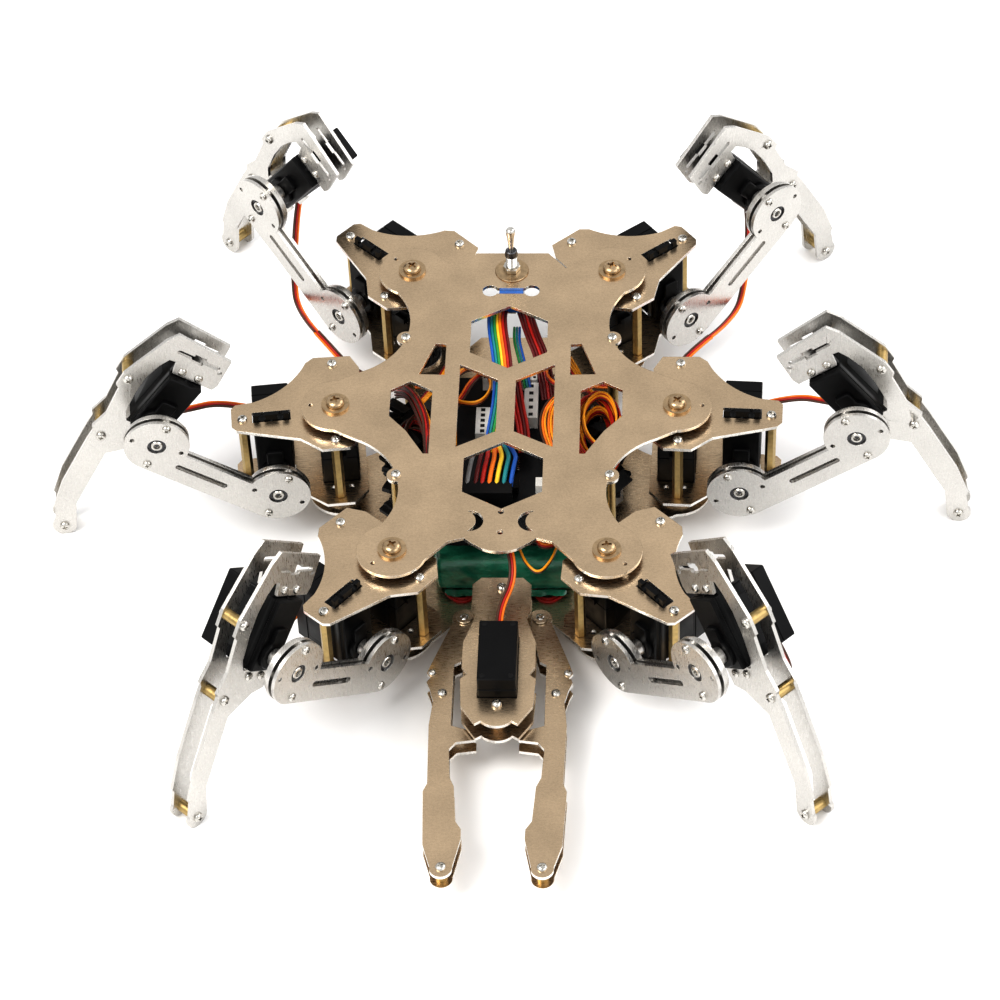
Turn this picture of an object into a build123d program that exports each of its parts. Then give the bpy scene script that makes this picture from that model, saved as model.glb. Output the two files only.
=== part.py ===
"""Six-legged walking robot kit with a two-finger gripper.

Folded and punched aluminium plates, hobby servos, brass standoffs. Millimetres, +Z up.
The origin is on the floor, midway between the two outermost ends of the robot along Y.
The gripper points along -Y. Every leg is drawn in its own frame: +X runs outwards along
the leg, +Y is the side that the servo shafts point to, and the swing axis is the Z axis.
"""

import os
from math import acos, asin, cos, degrees, pi, radians, sin, sqrt, tan

from build123d import *

os.makedirs("parts", exist_ok=True)

# ---- driving dimensions -------------------------------------------------------------

PLATE = 2.0                 # every aluminium plate
CENTRE_Y = 28.7             # shift that puts the robot's box midway over the origin
TOP_Z = 78.0                # upper face of the top body plate
EAR_X, EAR_Y = 55.6, 104.8  # swing axes of the four corner legs
MID_EAR_X = 91.8            # swing axes of the two middle legs
EAR_RADIUS = 18.5
EAR_GAP = 4.0               # top body plate to upper coxa plate
COXA_SPAN = 41.0            # between the two coxa plates

# hobby servo, standard size
CASE_LENGTH, CASE_WIDTH = 40.5, 20.1
FLANGE_LENGTH, FLANGE_THICK = 54.0, 2.5
CASE_BELOW = 28.0           # case under the flange
CASE_ABOVE = 8.0            # case over the flange's underside
BOSS_ABOVE = 10.0
SHAFT_ABOVE = 14.9
SHAFT_TO_CENTRE = 10.1
SHAFT_RADIUS = 2.9
FLANGE_HOLES = (49.5, 10.0)

# leg, in the leg's frame
COXA_TOP = TOP_Z - PLATE - EAR_GAP                 # upper face of the upper coxa plate
COXA_FLOOR = COXA_TOP - PLATE - COXA_SPAN          # upper face of the lower coxa plate
HIP_X = 35.0
HIP_Z = COXA_FLOOR + 0.25 + CASE_LENGTH / 2 - SHAFT_TO_CENTRE
FLANGE_Y = -1.0                                    # underside of both leg servo flanges
TIBIA_FRONT_Y = FLANGE_Y + FLANGE_THICK
TIBIA_BACK_Y = -10.5
FEMUR_BACK_Y = 21.0
FEMUR_FRONT_Y = 25.0
FEMUR_LENGTH = 76.6
FEMUR_RADIUS = 17.5
FOOT_RADIUS = 6.5
TIBIA_ANGLE = 127.7                                # knee servo's long axis from +X
FOOT_ALONG, FOOT_ACROSS = 98.0, 2.5                # foot screw from the knee, in the tibia's axes
FOOT_DROP = FOOT_ALONG * sin(radians(TIBIA_ANGLE)) - FOOT_ACROSS * cos(radians(TIBIA_ANGLE))
KNEE_Z = FOOT_RADIUS + FOOT_DROP
FEMUR_ANGLE = degrees(asin((KNEE_Z - HIP_Z) / FEMUR_LENGTH))
KNEE_X = HIP_X + FEMUR_LENGTH * cos(radians(FEMUR_ANGLE))
HORN_BOLTS = 13.9                                  # radius of the four horn bolt places
COXA_POSTS = ((50.5, -1.0), (1.5, 20.5), (0.0, -37.4))

# body stack
HORN_FACE = COXA_FLOOR - PLATE - SHAFT_ABOVE - 0.1  # upper face of the bottom body plate
BODY_POSTS = ((56.4, 51.5), (56.4, -51.5))

# gripper
SERVO_TOP = 56.0            # closed end of the gripper servo's case
GRIPPER_Y = -154.0          # middle of the gripper servo
UPPER_FRAME_Z = SERVO_TOP - 14.0
LOWER_FRAME_Z = SERVO_TOP - 26.0
FINGER_TOP_Z = LOWER_FRAME_Z - PLATE - 1.5
FINGER_LOW_Z = FINGER_TOP_Z - 9.0
PIVOT_X, PIVOT_Y = 20.0, -107.0
TIP_X, TIP_Y = 25.2, -271.0
PIN_RADIUS = 1.5
DRIVE_PIN = (PIVOT_X / 2, (PIVOT_Y + GRIPPER_Y + SHAFT_TO_CENTRE) / 2)

# servo leads
LEAD_DIAMETER = 3.2
LEAD_START = (KNEE_X + 7.95, -23.0, KNEE_Z - 10.3)
KNEE_LEADS = {
    "front": (LEAD_START, (KNEE_X + 16.4, -24.0, KNEE_Z - 21.1), (KNEE_X + 8.0, -30.0, 45.5), (80.0, -34.0, 34.0),
              (56.0, -35.5, 32.5), (34.0, -33.5, 39.0)),
    "mid": (LEAD_START, (KNEE_X + 16.4, -25.5, KNEE_Z - 21.1), (KNEE_X + 10.0, -31.0, 50.0), (84.0, -36.0, 48.0),
            (60.0, -37.0, 52.0), (34.0, -34.0, 41.0)),
    "rear": (LEAD_START, (112.0, -22.0, 65.0), (106.0, -10.0, 49.0), (94.0, 4.0, 41.0), (80.0, 19.0, 36.0),
             (62.0, 34.0, 31.5), (35.0, 44.0, 39.4)),
}
BODY_LEAD = ((35.0, 44.0, 39.4), (21.5, 49.0, 43.35), (6.0, 48.0, 34.0), (-10.0, 43.0, 29.5), (-26.0, 36.0, 31.0),
             (-44.0, 28.0, 38.0))
GRIPPER_LEAD = ((0.0, -131.0, 50.0), (0.0, -121.0, 50.5), (7.0, -106.0, 56.0), (5.0, -92.0, 66.0),
                (-4.0, -76.0, 69.0), (-10.0, -58.0, 62.0))

# name, swing axis, yaw of the leg from +X, side (1 left, -1 right)
LEGS = (
    ("front_left", -EAR_X, -EAR_Y, -130.2, 1),
    ("front_right", EAR_X, -EAR_Y, -47.5, -1),
    ("mid_left", -MID_EAR_X, 0.0, -172.8, 1),
    ("mid_right", MID_EAR_X, 0.0, -3.1, -1),
    ("rear_left", -EAR_X, EAR_Y, 138.2, 1),
    ("rear_right", EAR_X, EAR_Y, 38.1, -1),
)


def save(shape, name):
    """Moves a finished piece over the origin, names it and writes its STEP file."""
    placed = shape.moved(Location((0, CENTRE_Y, 0)))
    placed.label = name
    export_step(placed, f"parts/{name}.step")


def save_leg(shape, name, leg):
    """Puts a piece drawn in the leg's frame where its leg is; right legs are mirrored."""
    title, x, y, yaw, side = leg
    handed = shape if side == 1 else mirror(shape, about=Plane.XZ)
    save(handed.moved(Location((x, y, 0), (0, 0, yaw))), f"{title}_{name}")


def front_plane(y):
    """A plane across the leg whose sketch X is the leg's X, sketch Y is up, facing -Y."""
    return Plane(origin=(0, y, 0), x_dir=(1, 0, 0), z_dir=(0, -1, 0))


# ---- servo --------------------------------------------------------------------------

def servo(plane):
    """A servo on a plane: the flange's underside lies in it, the shaft runs up its Z."""
    with BuildPart() as body:
        with BuildSketch(plane.offset(-CASE_BELOW)):
            with Locations((SHAFT_TO_CENTRE, 0)):
                Rectangle(CASE_LENGTH, CASE_WIDTH)
        extrude(amount=CASE_BELOW + CASE_ABOVE)
        edges = body.edges().filter_by(GeomType.LINE)
        along = [e for e in edges if abs(e.tangent_at(0).dot(plane.z_dir)) > 0.99]
        fillet(along, 0.8)
        with BuildSketch(plane):
            with Locations((SHAFT_TO_CENTRE, 0)):
                Rectangle(FLANGE_LENGTH, CASE_WIDTH - 1.0)
                with GridLocations(FLANGE_HOLES[0], FLANGE_HOLES[1], 2, 2):
                    Circle(2.2, mode=Mode.SUBTRACT)
        extrude(amount=FLANGE_THICK)
        with BuildSketch(plane.offset(CASE_ABOVE)):
            Circle(8.0)
            with Locations((9.0, 0)):
                Rectangle(12.0, 9.0)
        extrude(amount=BOSS_ABOVE - CASE_ABOVE)
        with BuildSketch(plane.offset(BOSS_ABOVE)):
            Circle(SHAFT_RADIUS)
        extrude(amount=SHAFT_ABOVE - BOSS_ABOVE)
        with BuildSketch(plane.offset(-CASE_BELOW + 4.0)):
            with Locations((SHAFT_TO_CENTRE - CASE_LENGTH / 2 - 1.0, 0)):
                Rectangle(3.0, 7.0)
        extrude(amount=4.0)
    return body.part


def horn(plane, height, bolts):
    """A metal servo horn: boss, disc and bore; its disc's outer face is at height."""
    with BuildPart() as disc:
        with BuildSketch(plane):
            Circle(4.6)
        extrude(amount=height)
        with BuildSketch(plane.offset(height - 2.0)):
            Circle(bolts + 2.4)
            with PolarLocations(bolts - 5.0, 4, 45):
                Circle(1.5, mode=Mode.SUBTRACT)
        extrude(amount=2.0)
        with BuildSketch(plane):
            Circle(SHAFT_RADIUS + 0.05)
        extrude(amount=height, mode=Mode.SUBTRACT)
    return disc.part


# ---- leg pieces, in the leg's frame ---------------------------------------------------

def coxa_outline():
    """Kite-like coxa plate: lobes for two posts, a squared tip and a scooped rear edge."""
    with BuildSketch() as flat:
        with BuildLine():
            Polyline((45.0, -13.2), (54.0, -12.4), (56.5, -9.5), (56.5, 4.0), (54.0, 7.0), (20.0, 17.0),
                     (9.0, 26.5), (-6.0, 26.5), (-14.0, 18.0), (-14.5, -33.0), (-10.0, -42.5),
                     (10.0, -43.5), (14.5, -40.0))
            ThreePointArc((14.5, -40.0), (27.0, -23.0), (45.0, -13.2))
        make_face()
    return flat.sketch


def coxa_plates():
    """Upper and lower coxa plates with slots for the lift servo's flange."""
    with BuildPart() as plates:
        for level in (COXA_TOP, COXA_FLOOR):
            with BuildSketch(Plane.XY.offset(level - PLATE)):
                add(coxa_outline())
                with Locations((HIP_X, -1.75)):
                    Rectangle(20.8, 7.5, mode=Mode.SUBTRACT)
                with Locations(*COXA_POSTS):
                    Circle(1.6, mode=Mode.SUBTRACT)
                if level == COXA_TOP:
                    Circle(3.1, mode=Mode.SUBTRACT)
                else:
                    with Locations((0, -SHAFT_TO_CENTRE)):
                        Rectangle(CASE_WIDTH + 0.5, CASE_LENGTH + 0.5, mode=Mode.SUBTRACT)
                        with GridLocations(FLANGE_HOLES[1], FLANGE_HOLES[0], 2, 2):
                            Circle(1.6, mode=Mode.SUBTRACT)
            extrude(amount=PLATE)
    return plates.part


def coxa_servos():
    """Swing servo, shaft down through the lower plate, and lift servo standing on end."""
    swing = Plane(origin=(0, 0, COXA_FLOOR - PLATE), x_dir=(0, -1, 0), z_dir=(0, 0, -1))
    lift = Plane(origin=(HIP_X, FLANGE_Y, HIP_Z), x_dir=(0, 0, 1), z_dir=(0, 1, 0))
    return Compound([servo(swing), servo(lift)])


def coxa_hardware():
    """Three brass standoffs, and the pivot screw with its spacer and nut."""
    with BuildPart() as hardware:
        with BuildSketch(Plane.XY.offset(COXA_FLOOR)):
            with Locations(*COXA_POSTS):
                Circle(2.8)
        extrude(amount=COXA_SPAN)
        with BuildSketch(Plane.XY.offset(COXA_TOP + 0.05)):
            Circle(6.0)
            Circle(3.0, mode=Mode.SUBTRACT)
        extrude(amount=EAR_GAP - 0.35)
        with BuildSketch(Plane.XY.offset(COXA_TOP - PLATE - 3.0)):
            Circle(2.95)
        extrude(amount=TOP_Z + 1.6 - COXA_TOP + PLATE + 3.0)
        with BuildSketch(Plane.XY.offset(TOP_Z + 1.6)):
            Circle(4.9)
        extrude(amount=3.0)
        with BuildSketch(Plane.XY.offset(COXA_TOP - PLATE - 3.0)):
            RegularPolygon(5.0, 6)
            Circle(3.0, mode=Mode.SUBTRACT)
        extrude(amount=2.9)
    return hardware.part


def femur_outline():
    """Two round ends; the web's upper edge lies on the centre line, the lower is tangent."""
    with BuildSketch() as flat:
        with Locations((0, 0), (FEMUR_LENGTH, 0)):
            Circle(FEMUR_RADIUS)
        with Locations((FEMUR_LENGTH / 2, (1.0 - FEMUR_RADIUS) / 2)):
            Rectangle(FEMUR_LENGTH, FEMUR_RADIUS + 1.0)
    return flat.sketch


def femur():
    """Two femur plates on spacers, with the metal horns of the lift and knee servos."""
    lean = Location((HIP_X, 0, HIP_Z), (0, -FEMUR_ANGLE, 0))
    with BuildPart() as plates:
        for y in (FEMUR_BACK_Y, FEMUR_FRONT_Y):
            with BuildSketch(front_plane(y)):
                add(femur_outline())
                with Locations((0, 0), (FEMUR_LENGTH, 0)):
                    Circle(5.0, mode=Mode.SUBTRACT)
                    with PolarLocations(HORN_BOLTS, 4, 80):
                        Circle(1.3, mode=Mode.SUBTRACT)
                with Locations((0.575 * FEMUR_LENGTH, -7.5)):
                    SlotOverall(32.0, 3.2, mode=Mode.SUBTRACT)
            extrude(amount=-PLATE)
        with BuildSketch(front_plane(FEMUR_BACK_Y + PLATE)):
            with Locations((0, 0), (FEMUR_LENGTH, 0)):
                with PolarLocations(HORN_BOLTS, 2, 80):
                    Circle(2.6)
        extrude(amount=-(FEMUR_FRONT_Y - FEMUR_BACK_Y - PLATE))
    lift_shaft = FLANGE_Y + BOSS_ABOVE + 0.4
    up = Plane(origin=(0, lift_shaft, 0), x_dir=(1, 0, 0), z_dir=(0, 1, 0))
    far = Plane(origin=(FEMUR_LENGTH, lift_shaft, 0), x_dir=(1, 0, 0), z_dir=(0, 1, 0))
    height = FEMUR_BACK_Y - lift_shaft
    pieces = Compound([plates.part, horn(up, height, HORN_BOLTS), horn(far, height, HORN_BOLTS)])
    return pieces.moved(lean)


def knee_plane(y):
    """A plane across the knee: sketch X runs up the knee servo, sketch Y is its outer side."""
    lean = radians(TIBIA_ANGLE)
    return Plane(origin=(KNEE_X, y, KNEE_Z), x_dir=(cos(lean), 0, sin(lean)), z_dir=(0, 1, 0))


def tibia_outline():
    """Tibia plate: an arm over the servo's far end, an outer bend and a tapering shank."""
    arm = ((31.5, -15.5), (35.5, -16.5), (54.0, -13.5), (57.0, 20.5), (50.0, 24.0))
    bend = ((18.5, 31.0), (9.0, 30.0), (7.5, 27.5), (-12.0, 23.5), (-24.0, 25.0), (-26.0, 23.0))
    outer = ((-35.0, 22.0), (-69.0, 16.5), (-88.0, 10.5), (-90.0, 7.0))
    inner = ((-81.0, 1.0), (-38.0, 8.0), (-25.0, -4.0), (-22.0, -11.5), (-11.0, -11.5))
    opening = ((-11.0, -10.4), (-10.4, 10.4), (30.8, 10.4), (31.5, 10.0))
    shank_end = ((-80.0, 1.0), (-95.0, -8.2), (-103.0, 1.4), (-89.0, 8.5), (-80.0, 12.0))
    with BuildSketch() as flat:
        with BuildLine():
            Polyline(*arm, *bend, *outer, *inner, *opening, close=True)
        make_face()
        with BuildLine():
            Polyline(*shank_end, close=True)
        make_face()
        with Locations((-FOOT_ALONG, -FOOT_ACROSS)):
            Circle(FOOT_RADIUS)
    return flat.sketch


def tibia_points(spacers):
    """Screw places on a tibia plate: the spacers, or the flange and the arm."""
    if spacers:
        return ((15.9, 26.8), (-27.9, 17.0), (-FOOT_ALONG, -FOOT_ACROSS))
    half = FLANGE_HOLES[0] / 2
    return ((SHAFT_TO_CENTRE + half, 5.0), (SHAFT_TO_CENTRE + half, -5.0),
            (SHAFT_TO_CENTRE - half, 5.0), (SHAFT_TO_CENTRE - half, -5.0))


def tibia_plates():
    """Front tibia plate over the servo's flange, plain back plate, three brass spacers."""
    with BuildPart() as plates:
        for y in (TIBIA_FRONT_Y, TIBIA_BACK_Y):
            with BuildSketch(knee_plane(y)):
                add(tibia_outline())
                with Locations(*tibia_points(True)):
                    Circle(1.6, mode=Mode.SUBTRACT)
                with Locations((46.5, 2.0)):
                    SlotOverall(26.0, 2.6, rotation=90, mode=Mode.SUBTRACT)
                    Rectangle(5.5, 7.0, mode=Mode.SUBTRACT)
                with Locations((44.0, -12.5)):
                    Circle(1.2, mode=Mode.SUBTRACT)
                if y == TIBIA_FRONT_Y:
                    with Locations(*tibia_points(False)):
                        Circle(1.6, mode=Mode.SUBTRACT)
            extrude(amount=PLATE)
    return plates.part


def tibia_spacers():
    """Three brass spacers between the tibia plates."""
    with BuildPart() as spacers:
        with BuildSketch(knee_plane(TIBIA_BACK_Y + PLATE)):
            with Locations(*tibia_points(True)):
                Circle(2.8)
        extrude(amount=TIBIA_FRONT_Y - TIBIA_BACK_Y - PLATE)
    return spacers.part


def tibia():
    """The tibia as it comes off the bench: two plates bolted over three spacers."""
    return Compound([*tibia_plates().solids(), *tibia_spacers().solids()])


def knee_servo():
    """Knee servo: flange behind the front plate, shaft towards the femur."""
    return servo(knee_plane(FLANGE_Y))


# ---- body -----------------------------------------------------------------------------

def body_outline():
    """Body plate: six round ears, scooped sides, a squared stern and a small prow."""
    stern = EAR_Y + 14.2
    with BuildSketch() as flat:
        with BuildLine():
            Polyline((-27.0, -99.0), (-19.0, -96.5), (-15.5, -99.5), (-9.0, -104.0))
            ThreePointArc((-9.0, -104.0), (0.0, -106.0), (9.0, -104.0))
            Polyline((9.0, -104.0), (15.5, -99.5), (19.0, -96.5), (27.0, -99.0), (46.0, -120.0), (66.0, -91.5))
            ThreePointArc((66.0, -91.5), (54.8, -60.0), (80.0, -25.0))
            Polyline((80.0, -25.0), (MID_EAR_X, -EAR_RADIUS), (MID_EAR_X, EAR_RADIUS), (80.0, 25.0))
            ThreePointArc((80.0, 25.0), (54.8, 60.0), (66.0, 91.5))
            Polyline((66.0, 91.5), (50.0, 122.0), (30.0, 107.0), (20.0, stern), (-20.0, stern), (-30.0, 107.0),
                     (-50.0, 122.0), (-66.0, 91.5))
            ThreePointArc((-66.0, 91.5), (-54.8, 60.0), (-80.0, 25.0))
            Polyline((-80.0, 25.0), (-MID_EAR_X, EAR_RADIUS), (-MID_EAR_X, -EAR_RADIUS), (-80.0, -25.0))
            ThreePointArc((-80.0, -25.0), (-54.8, -60.0), (-66.0, -91.5))
            Polyline((-66.0, -91.5), (-46.0, -120.0), (-27.0, -99.0))
        make_face()
        with Locations(*[(leg[1], leg[2]) for leg in LEGS]):
            Circle(EAR_RADIUS)
        with Locations(*body_posts()):
            Circle(5.0)
    return flat.sketch


def body_posts():
    """Places of the four long body standoffs."""
    return [(side * x, y) for x, y in BODY_POSTS for side in (-1, 1)]


def side_window(side):
    """The windows on one side of the body plate: a wedge, a small triangle, a trapezium."""
    wedge = ((40.0, 11.0), (52.0, 18.0), (62.5, 11.5), (62.5, -8.0), (53.0, -19.0), (43.0, -36.0), (40.0, -36.0))
    triangle = ((34.0, 23.0), (48.0, 23.5), (40.0, 47.0), (34.0, 46.5))
    trapezium = ((4.8, 19.0), (25.8, 31.0), (25.8, -31.0), (4.8, -19.5))
    with BuildSketch() as flat:
        for window in (wedge, triangle, trapezium):
            with BuildLine():
                Polyline(*[(side * x, y) for x, y in window], close=True)
            make_face()
    return flat.sketch


def crescent(side):
    """A crescent slot beside the prow's two holes."""
    with BuildSketch() as flat:
        with BuildLine():
            ThreePointArc((side * 17.5, -91.5), (side * 9.0, -84.5), (side * 17.5, -77.5))
            ThreePointArc((side * 17.5, -77.5), (side * 13.0, -84.5), (side * 17.5, -91.5))
        make_face()
    return flat.sketch


def body_plate(top):
    """Top or bottom body plate; only the top one has the windows for looking in."""
    level = TOP_Z - PLATE if top else HORN_FACE - PLATE
    with BuildPart() as plate:
        with BuildSketch(Plane.XY.offset(level)):
            add(body_outline())
            with Locations((0, 52.5), (0, -51.5)):
                RegularPolygon(24.3, 6, rotation=90, mode=Mode.SUBTRACT)
            with Locations(*body_posts()):
                Circle(1.6, mode=Mode.SUBTRACT)
            for side in (-1, 1):
                add(side_window(side), mode=Mode.SUBTRACT)
            with Locations(*[(leg[1], leg[2]) for leg in LEGS]):
                Circle(4.0, mode=Mode.SUBTRACT)
            for leg in LEGS:
                outward = 0 if leg[2] == 0 else 1
                step = 13.4 / sqrt(1 + outward)
                across = step if leg[1] > 0 else -step
                along = 0 if outward == 0 else (step if leg[2] > 0 else -step)
                with Locations((leg[1] + across, leg[2] + along)):
                    Circle(1.2, mode=Mode.SUBTRACT)
            if top:
                for side in (-1, 1):
                    add(crescent(side), mode=Mode.SUBTRACT)
                with Locations((0, -78.0), (0, -92.5)):
                    Circle(1.6, mode=Mode.SUBTRACT)
                with Locations((0, 88.7)):
                    Rectangle(23.0, 4.5, mode=Mode.SUBTRACT)
                with Locations((-11.5, 88.7), (11.5, 88.7)):
                    Circle(4.4, mode=Mode.SUBTRACT)
                with Locations((0, EAR_Y)):
                    Circle(3.1, mode=Mode.SUBTRACT)
            else:
                with Locations((0, -118.0)):
                    Rectangle(32.0, 30.0)
                with Locations((-PIVOT_X, PIVOT_Y), (PIVOT_X, PIVOT_Y)):
                    Circle(6.5)
        extrude(amount=PLATE)
    return plate.part


def body_standoffs():
    """Four long brass standoffs between the body plates."""
    with BuildPart() as posts:
        with BuildSketch(Plane.XY.offset(HORN_FACE)):
            with Locations(*body_posts()):
                Circle(3.0)
        extrude(amount=TOP_Z - PLATE - HORN_FACE)
    return posts.part


def pivot_bushes():
    """A flanged brass bush in each ear of the top plate."""
    with BuildPart() as bushes:
        with BuildSketch(Plane.XY.offset(TOP_Z - PLATE)):
            with Locations(*[(leg[1], leg[2]) for leg in LEGS]):
                Circle(4.0)
        extrude(amount=PLATE)
        with BuildSketch(Plane.XY.offset(TOP_Z)):
            with Locations(*[(leg[1], leg[2]) for leg in LEGS]):
                Circle(7.5)
        extrude(amount=1.4)
        with BuildSketch(Plane.XY.offset(TOP_Z - PLATE)):
            with Locations(*[(leg[1], leg[2]) for leg in LEGS]):
                Circle(3.05, mode=Mode.ADD)
        extrude(amount=PLATE + 1.4, mode=Mode.SUBTRACT)
    return bushes.part


def swing_horns():
    """A metal horn under each swing servo, its disc lying on the bottom plate."""
    rise = COXA_FLOOR - PLATE - BOSS_ABOVE - 0.4 - HORN_FACE
    horns = []
    for leg in LEGS:
        face = Plane(origin=(leg[1], leg[2], HORN_FACE + rise), x_dir=(1, 0, 0), z_dir=(0, 0, -1))
        horns.append(horn(face, rise, 11.0))
    return Compound(horns)


def toggle_switch():
    """Toggle switch: body under the plate, threaded bush, nut and washer over it."""
    with BuildPart() as switch:
        with BuildSketch(Plane.XY.offset(TOP_Z - PLATE - 12.0)):
            with Locations((0, 96.5)):
                Rectangle(13.2, 22.0)
        extrude(amount=12.0)
        with BuildSketch(Plane.XY.offset(TOP_Z - PLATE)):
            with Locations((0, EAR_Y)):
                Circle(3.0)
        extrude(amount=PLATE + 14.0)
        with BuildSketch(Plane.XY.offset(TOP_Z)):
            with Locations((0, EAR_Y)):
                Circle(9.4)
        extrude(amount=1.0)
        with BuildSketch(Plane.XY.offset(TOP_Z + 1.0)):
            with Locations((0, EAR_Y)):
                RegularPolygon(5.2, 6)
        extrude(amount=3.0)
        with BuildSketch(Plane.XY.offset(TOP_Z + 10.0)):
            with Locations((0, EAR_Y)):
                Circle(1.9)
        extrude(amount=4.0, mode=Mode.SUBTRACT)
    return switch.part


def switch_lever():
    """Bat-shaped lever of the toggle switch, standing in the bush's bore."""
    with BuildPart() as lever:
        for rise, radius in ((10.3, 1.0), (15.0, 1.1), (29.7, 2.3)):
            with BuildSketch(Plane.XY.offset(TOP_Z + rise)):
                with Locations((0, EAR_Y)):
                    Circle(radius)
        loft()
        with Locations((0, EAR_Y, TOP_Z + 29.7)):
            Sphere(2.3)
    return lever.part


def controller_board():
    """Black controller board on four standoffs, with chips and rows of pin headers."""
    level = HORN_FACE + 33.0
    with BuildPart() as board:
        with BuildSketch(Plane.XY.offset(level)):
            with Locations((0, -10.0)):
                Rectangle(70.0, 124.0)
        extrude(amount=1.6)
        with BuildSketch(Plane.XY.offset(HORN_FACE)):
            with Locations((0, 3.0)):
                with GridLocations(62.0, 66.0, 2, 2):
                    Circle(2.5)
        extrude(amount=33.0)
        with BuildSketch(Plane.XY.offset(level + 1.6)):
            with Locations((-13.7, 11.0)):
                Rectangle(7.6, 20.0)
            with Locations((12.2, 26.5)):
                Rectangle(7.6, 27.0)
            with Locations((0, 46.0)):
                Rectangle(30.0, 7.6)
        extrude(amount=8.5)
        with BuildSketch(Plane.XY.offset(level + 1.6)):
            with Locations((0, 10.0), (0, -14.0)):
                Rectangle(12.0, 12.0)
        extrude(amount=2.0)
    return board.part


def battery_pack():
    """Shrink-wrapped battery pack lying across the front of the bottom plate."""
    with BuildPart() as pack:
        with BuildSketch(Plane.XY.offset(HORN_FACE + 0.2)):
            with Locations((0, -57.0)):
                Rectangle(76.0, 44.0)
        extrude(amount=27.8)
        fillet(pack.edges().filter_by(Axis.X), 7.0)
        fillet(pack.edges().filter_by(Axis.Z), 3.0)
    return pack.part


# ---- gripper --------------------------------------------------------------------------

def frame_outline():
    """Gripper frame plate: a slim neck, wide shoulders round the servo, a scalloped nose."""
    right = ((15.5, -97.0), (15.5, -116.0), (13.5, -120.0), (19.0, -137.0), (19.0, -153.5), (16.0, -158.5),
             (19.5, -161.5), (18.5, -180.0), (11.0, -191.5), (8.0, -189.5))
    left = tuple((-x, y) for x, y in reversed(right))
    with BuildSketch() as flat:
        with BuildLine():
            Polyline((11.0, -92.0), *right)
            ThreePointArc(right[-1], (0, -193.0), left[0])
            Polyline(*left, (-11.0, -92.0), (11.0, -92.0))
        make_face()
    return flat.sketch


def gripper_frame():
    """Both frame plates, the spacers between them and the neck's foot."""
    screws = ((0.0, -99.5), (0.0, -179.0))
    with BuildPart() as frame:
        for level in (UPPER_FRAME_Z, LOWER_FRAME_Z):
            with BuildSketch(Plane.XY.offset(level - PLATE)):
                add(frame_outline())
                with Locations((0, GRIPPER_Y)):
                    Rectangle(CASE_WIDTH + 0.6, CASE_LENGTH + 0.6, mode=Mode.SUBTRACT)
                if level == LOWER_FRAME_Z:
                    with Locations((0, GRIPPER_Y)):
                        with GridLocations(FLANGE_HOLES[1], FLANGE_HOLES[0], 2, 2):
                            Circle(1.6, mode=Mode.SUBTRACT)
            extrude(amount=PLATE)
        with BuildSketch(Plane.XY.offset(LOWER_FRAME_Z)):
            with Locations(*screws):
                Circle(2.8)
        extrude(amount=UPPER_FRAME_Z - PLATE - LOWER_FRAME_Z)
        with BuildSketch(Plane.XY.offset(HORN_FACE)):
            with Locations((-7.0, -96.0), (7.0, -96.0)):
                Circle(2.8)
        extrude(amount=LOWER_FRAME_Z - PLATE - HORN_FACE)
        with BuildSketch(Plane.XY.offset(HORN_FACE)):
            with Locations((-PIVOT_X, PIVOT_Y), (PIVOT_X, PIVOT_Y)):
                Circle(2.5)
        extrude(amount=FINGER_TOP_Z + 0.4 - HORN_FACE)
        with BuildSketch(Plane.XY.offset(HORN_FACE)):
            with Locations((-PIVOT_X, PIVOT_Y), (PIVOT_X, PIVOT_Y)):
                Circle(4.0)
        extrude(amount=FINGER_LOW_Z - PLATE - 0.4 - HORN_FACE)
        with BuildSketch(Plane.XY.offset(FINGER_TOP_Z + 0.4)):
            with Locations((-PIVOT_X, PIVOT_Y), (PIVOT_X, PIVOT_Y)):
                Circle(4.2)
        extrude(amount=1.0)
    return frame.part


def gripper_servo():
    """Gripper servo, upside down, its flange screwed under the lower frame plate."""
    return servo(Plane(origin=(0, GRIPPER_Y + SHAFT_TO_CENTRE, LOWER_FRAME_Z - PLATE), x_dir=(0, -1, 0),
                       z_dir=(0, 0, -1)))


def finger_outline(side, lug):
    """One finger plate: eye at the pivot, broad shoulder, stepped shaft and blunt tip."""
    outer = ((26.0, -110.0), (36.5, -140.0), (38.0, -145.0), (36.0, -148.0), (38.0, -151.0), (36.0, -156.0),
             (34.0, -164.0), (35.5, -180.0), (34.5, -218.0), (36.5, -223.0), (35.0, -257.0))
    inner = ((16.0, -253.0), (16.2, -247.0), (19.3, -242.0), (20.8, -220.0), (23.3, -214.0), (24.4, -195.5),
             (21.0, -191.0), (lug, -189.5), (lug, -184.5), (24.0, -180.0), (24.0, -139.0), (20.5, -137.0),
             (14.5, -112.0))
    with BuildSketch() as flat:
        with BuildLine():
            Line((side * 35.0, -257.0), (side * 31.0, -270.5))
            ThreePointArc((side * 31.0, -270.5), (side * TIP_X, -277.0), (side * 19.6, -270.5))
            Line((side * 19.6, -270.5), (side * 16.0, -253.0))
            Polyline(*[(side * x, y) for x, y in inner], *[(side * x, y) for x, y in outer])
        make_face()
        with Locations((side * PIVOT_X, PIVOT_Y)):
            Circle(6.3)
    return flat.sketch


def arm(start, end):
    """A flat arm with round ends from start to end."""
    middle = tuple((a + b) / 2 for a, b in zip(start, end))
    reach = sqrt((end[0] - start[0]) ** 2 + (end[1] - start[1]) ** 2)
    turn = degrees(acos((end[0] - start[0]) / reach)) * (1 if end[1] >= start[1] else -1)
    with BuildSketch() as flat:
        with Locations(middle):
            SlotCenterToCenter(reach, 9.0, rotation=turn)
    return flat.sketch


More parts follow.
